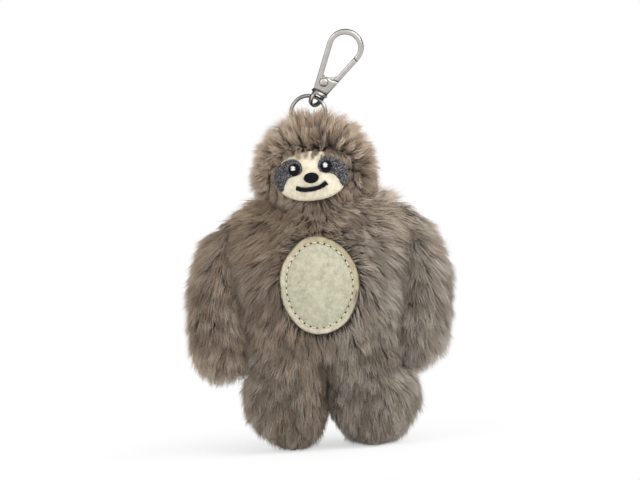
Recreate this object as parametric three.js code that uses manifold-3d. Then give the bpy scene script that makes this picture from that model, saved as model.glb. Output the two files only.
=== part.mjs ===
// A plush sloth bag charm: six stuffed fur pouches, a felt face and belly, and a snap hook on a split ring.
// Millimetres, +Z up. The sloth stands on its two soles at z = 0 and looks along -Y.
import * as THREE from "three";
import { mergeVertices } from "three/addons/utils/BufferGeometryUtils.js";
import Module from "manifold-3d";

const wasm = await Module();
wasm.setup();

// Clearances and fabric that every piece shares
const seamGap = 0.3; // between two pieces that touch
const runningGap = 0.12; // around a turning shaft
const furThickness = 4.5; // fur fabric with its pile, from backing to the tips
const overrun = 1; // how far a cut runs past the faces it opens
const samePoint = 1e-4; // points nearer than this are one

// Head: a body of revolution about the sideways axis, so that it can nod in the collar
const headHalfWidth = 25.8;
const headRadius = 24.2;
const headCentreZ = 110;
const headForward = 0.5;
const neckHoleRadius = 11;

// Torso
const torsoBottom = 33;
const torsoTop = 103;
const torsoHalfWidth = 35;
const torsoHalfDepth = 21.3;
const torsoSquareness = 2.4; // power of the superellipse that its sections follow
// Each pair is a share of the height and a share of the half width or half depth
const torsoWidthShares = [
  [0, 0.55], [0.09, 0.84], [0.24, 0.96], [0.44, 1], [0.66, 1], [0.84, 0.98], [0.9, 0.91], [0.95, 0.84],
  [1, 0.775],
];
const torsoDepthShares = [
  [0, 0.58], [0.09, 0.8], [0.24, 0.94], [0.42, 1], [0.6, 0.98], [0.78, 0.91], [0.9, 0.83], [1, 0.62],
];

// Arms: each is sewn to the flat side of the torso and swings about its shoulder
const sidePlane = 32.5; // the torso's flat side, where an arm is sewn on
const armTop = 98;
const armBottom = 30.4;
const armHalfWidth = 14.5;
const armHalfDepth = 14;
const armSpineX = 39.6; // the arm's middle at its widest
const armWidthShares = [
  [0, 0.3], [0.045, 0.56], [0.12, 0.8], [0.24, 0.95], [0.44, 1], [0.67, 0.94], [0.82, 0.81], [0.92, 0.6],
  [1, 0.26],
];
const armDepthShares = [
  [0, 0.32], [0.045, 0.55], [0.12, 0.79], [0.24, 0.94], [0.44, 1], [0.67, 0.97], [0.82, 0.85], [0.92, 0.62],
  [1, 0.3],
];
const armLeanShares = [
  [0, 1.01], [0.24, 1.01], [0.44, 1], [0.67, 0.935], [0.82, 0.86], [0.92, 0.81], [1, 0.79],
];

// Legs: a hip that turns inside the torso, and a stubby lobe below it
const hipX = 16.5;
const hipZ = 36;
const hipRadius = 18.4;
const hipHalfLength = 15.8;
const hipSquareness = 2.5;
const legTop = 38;
const legHalfWidth = 18;
const legHalfDepth = 15.4;
const legSpineX = 18.2;
const legSquareness = 2.15;
const legInnerPlane = 0.4; // half the gap where the two legs meet
const legWidthShares = [
  [0, 0.42], [0.04, 0.53], [0.08, 0.61], [0.17, 0.76], [0.25, 0.86], [0.335, 0.93], [0.42, 0.98],
  [0.53, 1.03], [0.66, 1.01], [0.75, 0.94], [0.8, 0.84], [0.845, 0.78], [0.92, 0.74], [1, 0.67],
];
const legDepthShares = [
  [0, 0.5], [0.04, 0.6], [0.08, 0.67], [0.17, 0.8], [0.25, 0.89], [0.42, 0.98], [0.55, 1], [0.7, 1.02],
  [0.85, 1], [1, 0.9],
];
const soleCut = 0.5; // how deep the sole is cut flat
const hipHoleRadius = 9;

// Face: felt and embroidery in layers, set into the pile of the head
const faceZ = 107.8;
const faceTilt = 2.5; // degrees, sewn on slightly askew
const faceHalfWidth = 14.6;
const faceHalfHeight = 10.2;
const faceRise = 0.8; // the felt's middle above the nose
const faceSink = 2.8; // felt surface below the tips of the pile
const faceFelt = 1.2;
const threadPad = 0.5; // thickness of a padded satin stitch area
const faceMargin = 0.4;
const eyeX = 6;
const eyeZ = 4.7;
const eyeHalfWidth = 2.85;
const eyeHalfHeight = 2.7;
const glintRadius = 1.1;
const glintShiftX = 0.75;
const glintShiftZ = 0.4;
const noseHalfWidth = 3.3;
const noseHalfHeight = 2.3;
const noseThickness = 1;
const mouthThickness = 0.8;
const mouthLine = 1.1; // width of the stitched smile
const mouthHalfWidth = 6;
const mouthDrop = 4.9; // lowest point of the smile below the nose
// Right half of the felt's outline, from the chin up, in shares of its half width and half height
const faceOutlineShares = [
  [0, -1], [0.39, -0.95], [0.68, -0.78], [0.87, -0.51], [0.97, -0.18], [1, 0.08], [0.94, 0.38], [0.77, 0.66],
  [0.51, 0.87], [0, 1],
];
// Outline of the right eye patch, from beside the nose bridge round the cheek, in the same shares
const eyePatchShares = [
  [0.2, 0.42], [0.28, 0.66], [0.46, 0.79], [0.69, 0.69], [0.86, 0.46], [0.95, 0.13], [0.93, -0.18],
  [0.83, -0.46], [0.77, -0.42], [0.72, -0.2], [0.6, 0.03], [0.38, 0.12], [0.25, 0.2],
];
// The smile from its left to its right end, in shares of its half width and of its drop
const smileShares = [
  [-1.03, -0.69], [-0.72, -0.93], [-0.27, -1], [0.15, -0.95], [0.58, -0.8], [0.95, -0.51],
];

// Belly: an oval of felt with a running stitch
const bellyZ = 65.2;
const bellyHalfWidth = 15.4;
const bellyHalfHeight = 19.6;
const bellyFelt = 1.3;
const bellySink = 0.2;
const bellyMargin = 0.4;
const stitchInset = 2.6;
const stitchThread = 0.5;
const stitchCount = 30;
const stitchWave = 0.08; // how far the thread dips between two stitches

// Crown: the fur parts where the ring stands in its ribbon tab
const tabHalfWidth = 2.2;
const tabDepth = 9.3; // how deep in the pile the tab is sewn
const tabFoot = headCentreZ + headRadius - tabDepth;
const ribbonThickness = 0.7;
const partingHalfWidth = 8.6;
const partingHalfAngle = 30; // degrees each way from upright
const partingFloor = 2.7; // half its width at the tab's foot

// Split ring: two flat turns of a strip with a step between them
const ringCentreZ = headCentreZ + headRadius; // the ring stands half sunk in the pile
const ringOuterRadius = 7.7;
const ringInnerRadius = 6.2;
const ringStrip = 0.55; // axial thickness of one turn
const ringTurnGap = 0.45;
const ringEndGap = 36; // degrees between the strip's two ends, where it steps across
const ringStepAt = 190; // degrees round the ring from +X
const ringCornerShare = 0.3; // of the strip, taken off each corner

// Swivel snap hook, in its own frame: up its length from the bottom of the hook's base
const hookLean = 33.5; // degrees from upright, round the ring
const hookForward = 12; // degrees towards the viewer
const hookThickness = 3;
const hookBaseHalfWidth = 3.06;
const hookBaseTop = 6.1;
const hookBowZ = 20.1;
const hookBowRadius = 7.35;
const hookBar = 2.1; // width of the bar round the bow
const hookBevel = 0.55;
const gateReach = 15.4; // from the rivet to the gate's tip
const noseLip = 0.25; // between the gate's tip and the hook's nose
const slotWidth = 1.6;
const slotBottom = 2.1;
const rivetX = -0.7;
const rivetZ = 3.9;
const rivetShaftRadius = 0.65;
const rivetHeadRadius = 1.85;
const rivetHeadHeight = 0.7;
const gateBottom = 6.9;
const gateInset = 0.4; // how much thinner than the hook the gate is
const gateBevel = 0.4;
const gateHeelRadius = 1.45;
const gateHeelThickness = 0.7;
const gateNeckShare = 0.72; // width of the gate's neck, as a share of the bar
const springWire = 0.4;
const springStart = 100; // degrees round the rivet
const springEnd = 370;
const rivetDomeShares = [0.55, 0.9, 1]; // radii of the head's rings
const postRadius = 0.6;
const postHeadRadius = 0.95;
const postHeadHeight = 0.5;
const postFloor = 0.9; // wall that the post's head bears on
const collarRadius = 3.25;
const collarHeight = 1.5;
const collarFlare = 0.25;
const collarTopInset = 0.4;
const collarFootInset = 0.9;
// How far down the collar its widest ring, the bottom of its straight part and the top of the eye lie
const collarFlareShare = 0.8;
const collarStraightShare = 0.3;
const eyeTopShare = 0.4;
const wireBelowBase = 3.2; // from the base's bottom to the middle of the ring's wire
const eyeTurn = 52; // degrees that the eye is swivelled from the ring
const eyeHoleHalfWidth = 2.45;
const eyeHoleHeight = 4.6;
const eyeBar = 1.05;
const eyeThickness = 1.8;
const eyeBevel = 0.3;
const eyeSink = 0.15; // how far the eye's hole runs up into the collar

const colours = {
  fur: 0x8f7f72,
  stuffing: 0xeeece6,
  cream: 0xe3dcc4,
  grey: 0x4b4a4e,
  black: 0x111216,
  white: 0xf4f4f2,
  ribbon: 0x7d6d60,
  metal: 0xb9b6ad,
};

const degrees = THREE.MathUtils.degToRad;
const vector2 = ([x, y]) => new THREE.Vector2(x, y);

// A manifold-3d solid from a closed three.js geometry
function solid(geometry) {
  const open = geometry.index ? geometry.toNonIndexed() : geometry.clone();
  for (const name of Object.keys(open.attributes)) {
    if (name !== "position") open.deleteAttribute(name);
  }
  const merged = mergeVertices(open, samePoint);
  return new wasm.Manifold(
    new wasm.Mesh({
      numProp: 3,
      vertProperties: new Float32Array(merged.attributes.position.array),
      triVerts: new Uint32Array(merged.index.array),
    }),
  );
}

// The three.js geometry of a manifold-3d solid
function geometryOf(made) {
  const mesh = made.getMesh();
  const positions = new Float32Array(mesh.numVert * 3);
  for (let i = 0; i < mesh.numVert; i++) {
    positions.set(mesh.vertProperties.subarray(i * mesh.numProp, i * mesh.numProp + 3), i * 3);
  }
  const geometry = new THREE.BufferGeometry();
  geometry.setAttribute("position", new THREE.BufferAttribute(positions, 3));
  geometry.setIndex(new THREE.BufferAttribute(new Uint32Array(mesh.triVerts), 1));
  const flat = geometry.toNonIndexed();
  flat.computeVertexNormals();
  return flat;
}

function namedMesh(name, geometry, color, roughness = 0.9, metalness = 0) {
  const mesh = new THREE.Mesh(geometry, new THREE.MeshStandardMaterial({ color, roughness, metalness }));
  mesh.name = name;
  return mesh;
}

function furMesh(name, made) {
  return namedMesh(name, geometryOf(made), colours.fur, 0.95);
}

function metalMesh(name, made) {
  return namedMesh(name, geometryOf(made), colours.metal, 0.35, 0.9);
}

// The other hand of a solid, across the plane x = 0
function mirrored(made) {
  return made.mirror([1, 0, 0]);
}

// A box from its lowest to its highest corner
function boxBetween(low, high) {
  const size = high.map((value, i) => value - low[i]);
  const geometry = new THREE.BoxGeometry(...size);
  geometry.translate(...low.map((value, i) => value + size[i] / 2));
  return solid(geometry);
}

// A cylinder along Y, through the middle of the hook's thickness
function crossPin(radius, length, sides, x, z) {
  const geometry = new THREE.CylinderGeometry(radius, radius, length, sides);
  geometry.translate(x, 0, z);
  return solid(geometry);
}

// A smooth curve of shares against the share of the height
function shareCurve(pairs) {
  const curve = new THREE.SplineCurve(pairs.map(vector2));
  const points = curve.getPoints(120);
  return (share) => {
    const next = points.findIndex((point) => point.x >= share);
    if (next <= 0) return points[next < 0 ? points.length - 1 : 0].y;
    const [a, b] = [points[next - 1], points[next]];
    return THREE.MathUtils.mapLinear(share, a.x, b.x, a.y, b.y);
  };
}

// A closed form that swells and tapers up Z: rings of a superellipse, closed by a point at each end
function swellingForm(form) {
  const { bottom, top, rings, sides, halfWidth, halfDepth, centreX = () => 0, squareness = 2 } = form;
  const positions = [];
  const indices = [];
  const height = top - bottom;
  for (let ring = 0; ring <= rings; ring++) {
    const share = 0.5 - 0.5 * Math.cos((Math.PI * ring) / rings);
    const z = bottom + height * share;
    for (let side = 0; side < sides; side++) {
      const angle = (2 * Math.PI * side) / sides;
      const [c, s] = [Math.cos(angle), Math.sin(angle)];
      const x = centreX(share) + halfWidth(share) * Math.sign(c) * Math.abs(c) ** (2 / squareness);
      const y = halfDepth(share) * Math.sign(s) * Math.abs(s) ** (2 / squareness);
      positions.push(x, y, z);
    }
  }
  const lowPole = positions.length / 3;
  positions.push(centreX(0), 0, bottom, centreX(1), 0, top);
  for (let side = 0; side < sides; side++) {
    const next = (side + 1) % sides;
    indices.push(lowPole, next, side);
    indices.push(lowPole + 1, rings * sides + side, rings * sides + next);
    for (let ring = 0; ring < rings; ring++) {
      const [a, b] = [ring * sides + side, ring * sides + next];
      indices.push(a, b, a + sides, b, b + sides, a + sides);
    }
  }
  const geometry = new THREE.BufferGeometry();
  geometry.setAttribute("position", new THREE.Float32BufferAttribute(positions, 3));
  geometry.setIndex(indices);
  return solid(geometry);
}

// A body of revolution about the sideways axis, from its half length, radius and squareness
function barrel({ halfLength, radius, squareness = 2, arcs, sides, centre }) {
  const profile = [];
  for (let i = 0; i <= arcs; i++) {
    const angle = (Math.PI * i) / arcs;
    const [c, s] = [-Math.cos(angle), i % arcs === 0 ? 0 : Math.sin(angle)];
    const along = halfLength * Math.sign(c) * Math.abs(c) ** (2 / squareness);
    profile.push(new THREE.Vector2(radius * s ** (2 / squareness), along));
  }
  const geometry = new THREE.LatheGeometry(profile, sides);
  geometry.rotateZ(-Math.PI / 2);
  geometry.translate(...centre);
  return solid(geometry);
}

// A prism through the front of the sloth, from an outline drawn in X and Z about a point
function frontPrism(points, x, z) {
  const depth = headRadius + headForward + overrun;
  const geometry = new THREE.ExtrudeGeometry(new THREE.Shape(points), { depth, bevelEnabled: false });
  geometry.rotateX(Math.PI / 2);
  geometry.translate(x, 0, z);
  return solid(geometry);
}

function ellipsePoints(halfWidth, halfHeight, count) {
  return new THREE.EllipseCurve(0, 0, halfWidth, halfHeight).getPoints(count).slice(0, -1);
}

// Head

function headForm(inset, arcs = 14, sides = 28) {
  return barrel({
    halfLength: headHalfWidth - inset,
    radius: headRadius - inset,
    arcs,
    sides,
    centre: [0, -headForward, headCentreZ],
  });
}

// The space between two depths below the tips of the head's pile
function headLayer(outerInset, innerInset) {
  return headForm(outerInset).subtract(headForm(innerInset));
}

function faceOutline(grow) {
  const half = faceOutlineShares.map(([x, z]) => [
    x * (faceHalfWidth + grow),
    z * (faceHalfHeight + grow) + faceRise,
  ]);
  const left = half.slice(1, -1).reverse().map(([x, z]) => [-x, z]);
  return new THREE.SplineCurve([...half, ...left, half[0]].map(vector2)).getPoints(40).slice(0, -1);
}

// The fur parts in a fan, so that the ring can lean to and fro in its tab
function crownParting() {
  const reach = headRadius;
  const spread = partingFloor + reach * Math.tan(degrees(partingHalfAngle));
  const fan = new THREE.Shape([
    new THREE.Vector2(-partingFloor, 0),
    new THREE.Vector2(partingFloor, 0),
    new THREE.Vector2(spread, reach),
    new THREE.Vector2(-spread, reach),
  ]);
  const geometry = new THREE.ExtrudeGeometry(fan, { depth: 2 * partingHalfWidth, bevelEnabled: false });
  geometry.translate(0, 0, -partingHalfWidth);
  geometry.rotateX(Math.PI / 2);
  geometry.rotateZ(Math.PI / 2);
  geometry.translate(0, 0, tabFoot - 2 * seamGap);
  return solid(geometry);
}

function neckHole() {
  const height = headRadius;
  const geometry = new THREE.CylinderGeometry(neckHoleRadius, neckHoleRadius, height, 24);
  geometry.rotateX(Math.PI / 2);
  geometry.translate(0, -headForward, headCentreZ - height / 2 - furThickness);
  return solid(geometry);
}

// A prism whose outline is placed from the middle of the face, and tilts with it
function facePrism(points, x, z) {
  const [c, s] = [Math.cos(degrees(faceTilt)), Math.sin(degrees(faceTilt))];
  const turned = points.map((point) => {
    const [px, pz] = [point.x + x, point.y + z];
    return new THREE.Vector2(px * c - pz * s, px * s + pz * c);
  });
  return frontPrism(turned, 0, faceZ);
}

function headPieces() {
  const recess = facePrism(faceOutline(faceMargin), 0, 0).subtract(headForm(faceSink + faceFelt + seamGap));
  const cavity = headForm(furThickness + faceMargin, 10, 20);
  const opened = headForm(0).subtract(recess).subtract(crownParting());
  const core = headForm(furThickness + faceMargin + seamGap, 10, 20).subtract(crownParting());
  return [
    furMesh("head_skin", opened.subtract(cavity).subtract(neckHole())),
    namedMesh("head_stuffing", geometryOf(core), colours.stuffing),
  ];
}

// A patch that lies in a layer of the face
function facePatch(name, points, x, z, outerInset, thickness, colour) {
  const patch = facePrism(points, x, z).intersect(headLayer(outerInset, outerInset + thickness));
  return namedMesh(name, geometryOf(patch), colour);
}

function stitchedSmile() {
  const points = smileShares.map(([x, z]) => new THREE.Vector2(x * mouthHalfWidth, z * mouthDrop));
  const spine = new THREE.SplineCurve(points);
  const steps = 16;
  const upper = [];
  const lower = [];
  for (let i = 0; i <= steps; i++) {
    const [at, way] = [spine.getPoint(i / steps), spine.getTangent(i / steps)];
    const across = new THREE.Vector2(-way.y, way.x).multiplyScalar(mouthLine / 2);
    upper.push(at.clone().add(across));
    lower.unshift(at.clone().sub(across));
  }
  return [...upper, ...lower].reverse();
}

function facePieces() {
  const pieces = [];
  const firstLayer = faceSink - seamGap - threadPad;
  const secondLayer = firstLayer - seamGap - threadPad;
  const thirdLayer = secondLayer - seamGap - threadPad;
  pieces.push(facePatch("face_patch", faceOutline(0), 0, 0, faceSink, faceFelt, colours.cream));
  for (const [side, sign] of [["left", -1], ["right", 1]]) {
    const patch = eyePatchShares.map(([x, z]) => [x * faceHalfWidth, z * faceHalfHeight + faceRise / 2]);
    const closed = new THREE.SplineCurve([...patch, patch[0]].map(vector2)).getPoints(36).slice(0, -1);
    const handed = closed.map((point) => new THREE.Vector2(sign * point.x, point.y));
    pieces.push(facePatch(`eye_patch_${side}`, handed, 0, 0, firstLayer, threadPad, colours.grey));
    const eye = ellipsePoints(eyeHalfWidth, eyeHalfHeight, 24);
    pieces.push(facePatch(`eye_${side}`, eye, sign * eyeX, eyeZ, secondLayer, threadPad, colours.black));
    const glint = ellipsePoints(glintRadius, glintRadius, 12);
    const [glintX, glintZ] = [sign * eyeX - glintShiftX, eyeZ + glintShiftZ];
    pieces.push(facePatch(`eye_glint_${side}`, glint, glintX, glintZ, thirdLayer, threadPad, colours.white));
  }
  const nose = ellipsePoints(noseHalfWidth, noseHalfHeight, 24);
  const noseLayer = faceSink - seamGap - noseThickness;
  pieces.push(facePatch("nose", nose, 0, 0, noseLayer, noseThickness, colours.black));
  const mouthLayer = faceSink - seamGap - mouthThickness;
  pieces.push(facePatch("mouth", stitchedSmile(), 0, 0, mouthLayer, mouthThickness, colours.black));
  return pieces;
}

// Torso

const torsoWidthAt = shareCurve(torsoWidthShares);
const torsoDepthAt = shareCurve(torsoDepthShares);

function torsoForm(inset, rings = 12, sides = 28) {
  return swellingForm({
    bottom: torsoBottom + inset,
    top: torsoTop - inset,
    rings,
    sides,
    halfWidth: (share) => torsoHalfWidth * torsoWidthAt(share) - inset,
    halfDepth: (share) => torsoHalfDepth * torsoDepthAt(share) - inset,
    squareness: torsoSquareness,
  });
}

// Depth of the torso's front surface at a point of the front view
function torsoFrontAt(x, z) {
  const share = (z - torsoBottom) / (torsoTop - torsoBottom);
  const across = Math.abs(x) / (torsoHalfWidth * torsoWidthAt(share));
  return torsoHalfDepth * torsoDepthAt(share) * (1 - across ** torsoSquareness) ** (1 / torsoSquareness);
}

function hipForm(grow, arcs = 10, sides = 22) {
  return barrel({
    halfLength: hipHalfLength + grow,
    radius: hipRadius + grow,
    squareness: hipSquareness,
    arcs,
    sides,
    centre: [hipX, 0, hipZ],
  });
}

// What the head and the hips take out of the torso
function withSockets(made, gap) {
  const hip = hipForm(gap);
  return made.subtract(headForm(-gap)).subtract(hip).subtract(mirrored(hip));
}

function torsoPieces() {
  const reach = torsoHalfDepth + overrun;
  const between = boxBetween([-sidePlane, -reach, 0], [sidePlane, reach, torsoTop + overrun]);
  const margin = ellipsePoints(bellyHalfWidth + bellyMargin, bellyHalfHeight + bellyMargin, 40);
  const recess = frontPrism(margin, 0, bellyZ).subtract(torsoForm(bellySink + bellyFelt + seamGap));
  const shell = torsoForm(0).intersect(between).subtract(recess).subtract(torsoForm(furThickness, 8, 20));
  const core = torsoForm(furThickness + seamGap, 8, 20);
  const felt = frontPrism(ellipsePoints(bellyHalfWidth, bellyHalfHeight, 40), 0, bellyZ)
    .intersect(torsoForm(bellySink).subtract(torsoForm(bellySink + bellyFelt)));
  return [
    furMesh("torso_skin", withSockets(shell, seamGap)),
    namedMesh("torso_stuffing", geometryOf(withSockets(core, 2 * seamGap)), colours.stuffing),
    namedMesh("belly_patch", geometryOf(felt), colours.cream),
    namedMesh("belly_stitching", geometryOf(bellyStitching()), colours.cream),
  ];
}

// The running stitch, as one thread round the belly that dips between stitches
function bellyStitching() {
  const steps = stitchCount * 4;
  const sides = 4;
  const positions = [];
  const indices = [];
  const lift = seamGap + stitchThread / 2 + stitchWave;
  const at = (step) => {
    const angle = (2 * Math.PI * step) / steps;
    const x = (bellyHalfWidth - stitchInset) * Math.cos(angle);
    const z = bellyZ + (bellyHalfHeight - stitchInset) * Math.sin(angle);
    const wave = stitchWave * Math.cos((2 * Math.PI * step * stitchCount) / steps);
    return new THREE.Vector3(x, -(torsoFrontAt(x, z) - bellySink + lift + wave), z);
  };
  const front = new THREE.Vector3(0, -1, 0);
  for (let step = 0; step < steps; step++) {
    const along = at(step + 1).sub(at(step - 1)).normalize();
    const across = new THREE.Vector3().crossVectors(along, front).normalize();
    const out = new THREE.Vector3().crossVectors(across, along);
    for (let side = 0; side < sides; side++) {
      const angle = (2 * Math.PI * side) / sides;
      const point = at(step)
        .addScaledVector(across, (stitchThread / 2) * Math.cos(angle))
        .addScaledVector(out, (stitchThread / 2) * Math.sin(angle));
      positions.push(...point.toArray());
    }
  }
  for (let step = 0; step < steps; step++) {
    const other = ((step + 1) % steps) * sides;
    for (let side = 0; side < sides; side++) {
      const next = (side + 1) % sides;
      const [a, b] = [step * sides + side, step * sides + next];
      const [c, d] = [other + side, other + next];
      indices.push(a, c, b, b, c, d);
    }
  }
  const geometry = new THREE.BufferGeometry();
  geometry.setAttribute("position", new THREE.Float32BufferAttribute(positions, 3));
  geometry.setIndex(indices);
  const thread = solid(geometry);
  return thread.volume() < 0 ? solid(reversed(geometry)) : thread;
}

function reversed(geometry) {
  const turned = geometry.clone();
  const index = turned.index.array;
  for (let i = 0; i < index.length; i += 3) {
    [index[i + 1], index[i + 2]] = [index[i + 2], index[i + 1]];
  }
  return turned;
}

// Arms

const armWidthAt = shareCurve(armWidthShares);
const armDepthAt = shareCurve(armDepthShares);
const armLeanAt = shareCurve(armLeanShares);

function armForm(inset, rings, sides) {
  return swellingForm({
    bottom: armBottom + inset,
    top: armTop - inset,
    rings,
    sides,
    halfWidth: (share) => armHalfWidth * armWidthAt(share) - inset * armWidthAt(share),
    halfDepth: (share) => armHalfDepth * armDepthAt(share) - inset * armDepthAt(share),
    centreX: (share) => armSpineX * armLeanAt(share),
  });
}

// Everything further out than a plane beside the torso
function beyond(plane) {
  const reach = armHalfDepth + overrun;
  return boxBetween([plane, -reach, 0], [torsoHalfWidth + 2 * armHalfWidth, reach, armTop]);
}

function armPieces() {
  const solidArm = armForm(0, 14, 22).intersect(beyond(sidePlane + seamGap));
  const skin = solidArm.subtract(armForm(furThickness, 8, 14));
  const core = armForm(furThickness + seamGap, 8, 14).intersect(beyond(sidePlane + 2 * seamGap));
  return [
    furMesh("arm_skin_right", skin),
    furMesh("arm_skin_left", mirrored(skin)),
    namedMesh("arm_stuffing_right", geometryOf(core), colours.stuffing),
    namedMesh("arm_stuffing_left", geometryOf(mirrored(core)), colours.stuffing),
  ];
}

// Legs

const legWidthAt = shareCurve(legWidthShares);
const legDepthAt = shareCurve(legDepthShares);

function legForm(inset, rings, sides) {
  const lobe = swellingForm({
    bottom: inset - soleCut,
    top: legTop,
    rings,
    sides,
    halfWidth: (share) => legHalfWidth * legWidthAt(share) - inset,
    halfDepth: (share) => legHalfDepth * legDepthAt(share) - inset,
    centreX: () => legSpineX,
    squareness: legSquareness,
  });
  const reach = hipRadius + overrun;
  const half = boxBetween(
    [legInnerPlane + inset, -reach, inset],
    [torsoHalfWidth + legHalfWidth, reach, hipZ + reach],
  );
  return lobe.add(hipForm(-inset, inset > 0 ? 8 : 10, inset > 0 ? 16 : 22)).intersect(half);
}

function legPieces() {
  const hole = new THREE.CylinderGeometry(hipHoleRadius, hipHoleRadius, hipRadius, 20);
  hole.rotateX(Math.PI / 2);
  hole.translate(hipX, 0, hipZ + hipRadius);
  const skin = legForm(0, 10, 22).subtract(legForm(furThickness, 7, 16)).subtract(solid(hole));
  const core = legForm(furThickness + seamGap, 7, 16);
  return [
    furMesh("leg_skin_right", skin),
    furMesh("leg_skin_left", mirrored(skin)),
    namedMesh("leg_stuffing_right", geometryOf(core), colours.stuffing),
    namedMesh("leg_stuffing_left", geometryOf(mirrored(core)), colours.stuffing),
  ];
}

// Ribbon tab: a loop round the ring's wire, sewn into the crown

const ringWireRadius = (ringOuterRadius + ringInnerRadius) / 2;
const ringWireZ = ringCentreZ - ringWireRadius;
const ringHalfRadial = (ringOuterRadius - ringInnerRadius) / 2;
const ringPitch = ringStrip + ringTurnGap;
const ringHalfAxial = (ringPitch + ringStrip) / 2;

function ringTab() {
  const sag = ringInnerRadius - Math.sqrt(ringInnerRadius ** 2 - tabHalfWidth ** 2);
  const inner = Math.hypot(ringHalfAxial, ringHalfRadial) + seamGap + sag / 2;
  const outer = inner + ribbonThickness;
  const middle = ringWireZ + sag / 2;
  const shape = new THREE.Shape();
  shape.moveTo(-ribbonThickness, tabFoot);
  shape.lineTo(ribbonThickness, tabFoot);
  shape.absarc(0, middle, outer, degrees(-45), degrees(225), false);
  const hole = new THREE.Path();
  hole.absarc(0, middle, inner, 0, 2 * Math.PI, true);
  shape.holes.push(hole);
  const geometry = new THREE.ExtrudeGeometry(shape, { depth: 2 * tabHalfWidth, bevelEnabled: false });
  geometry.translate(0, 0, -tabHalfWidth);
  geometry.rotateX(Math.PI / 2);
  geometry.rotateZ(Math.PI / 2);
  return namedMesh("ring_tab", geometry, colours.ribbon);
}

// Split ring, about the axis Y: the strip runs flat, steps across between its own ends, and runs flat again

function ringStrand() {
  const steps = 60;
  const sweep = degrees(720 - ringEndGap);
  const halfStep = degrees(ringEndGap) / 2;
  return Array.from({ length: steps + 1 }, (_, step) => {
    const turned = sweep * (step / steps - 0.5);
    const across = THREE.MathUtils.smoothstep(turned, -halfStep, halfStep) - 0.5;
    return { angle: turned + degrees(ringStepAt), along: ringPitch * across };
  });
}

function splitRing() {
  const corner = ringStrip * ringCornerShare;
  const [out, up] = [ringHalfRadial, ringStrip / 2];
  const section = [
    [out, up - corner], [out - corner, up], [corner - out, up], [-out, up - corner],
    [-out, corner - up], [corner - out, -up], [out - corner, -up], [out, corner - up],
  ];
  const strand = ringStrand();
  const positions = [];
  const indices = [];
  for (const { angle, along } of strand) {
    for (const [radial, axial] of section) {
      const radius = ringWireRadius + radial;
      positions.push(radius * Math.cos(angle), along + axial, radius * Math.sin(angle));
    }
  }
  const count = section.length;
  const last = (strand.length - 1) * count;
  for (let start = 0; start < last; start += count) {
    for (let side = 0; side < count; side++) {
      const [a, b] = [start + side, start + ((side + 1) % count)];
      indices.push(a, a + count, b, b, a + count, b + count);
    }
  }
  for (let side = 1; side < count - 1; side++) {
    indices.push(0, side, side + 1);
    indices.push(last, last + side + 1, last + side);
  }
  const geometry = new THREE.BufferGeometry();
  geometry.setAttribute("position", new THREE.Float32BufferAttribute(positions, 3));
  geometry.setIndex(indices);
  const facing = signedVolume(geometry) < 0 ? reversed(geometry) : geometry;
  const mesh = metalMesh("split_ring", solid(facing));
  mesh.position.z = ringCentreZ;
  return mesh;
}

function signedVolume(geometry) {
  const at = geometry.attributes.position;
  const index = geometry.index.array;
  const [a, b, c] = [new THREE.Vector3(), new THREE.Vector3(), new THREE.Vector3()];
  let total = 0;
  for (let i = 0; i < index.length; i += 3) {
    a.fromBufferAttribute(at, index[i]);
    b.fromBufferAttribute(at, index[i + 1]);
    c.fromBufferAttribute(at, index[i + 2]);
    total += a.dot(b.cross(c)) / 6;
  }
  return total;
}

// Snap hook

// The points of an outline, without the repeated ones where a line runs into an arc
function cleanPoints(path, segments) {
  const points = path.getPoints(segments);
  return points.filter((point, i) => point.distanceTo(points.at(i - 1)) > samePoint);
}

// A flat piece of the hook, from an outline in its own X and Z, centred on its thickness
function hookPlate(outline, thickness, bevel, segments = 10) {
  const shape = new THREE.Shape(cleanPoints(outline, segments));
  shape.holes = outline.holes.map((hole) => new THREE.Path(cleanPoints(hole, segments)));
  const geometry = new THREE.ExtrudeGeometry(shape, {
    depth: thickness - 2 * bevel,
    bevelEnabled: bevel > 0,
    bevelThickness: bevel,
    bevelSize: bevel,
    bevelOffset: -bevel,
    bevelSegments: 2,
  });
  geometry.translate(0, 0, bevel - thickness / 2);
  geometry.rotateX(Math.PI / 2);
  return solid(geometry);
}

// Where the straight side of the teardrop touches its round bow
const bowFromBase = new THREE.Vector2(hookBaseHalfWidth, hookBowZ);
const bowTouch = Math.acos(hookBowRadius / bowFromBase.length()) - bowFromBase.angle();

function bowPoint(radius, sign) {
  return [sign * radius * Math.cos(bowTouch), hookBowZ + radius * Math.sin(bowTouch)];
}

// Half width of the teardrop's outer side at a height below the bow
function sideAt(z) {
  const [x, top] = bowPoint(hookBowRadius, 1);
  return hookBaseHalfWidth + ((x - hookBaseHalfWidth) * z) / top;
}

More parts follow.
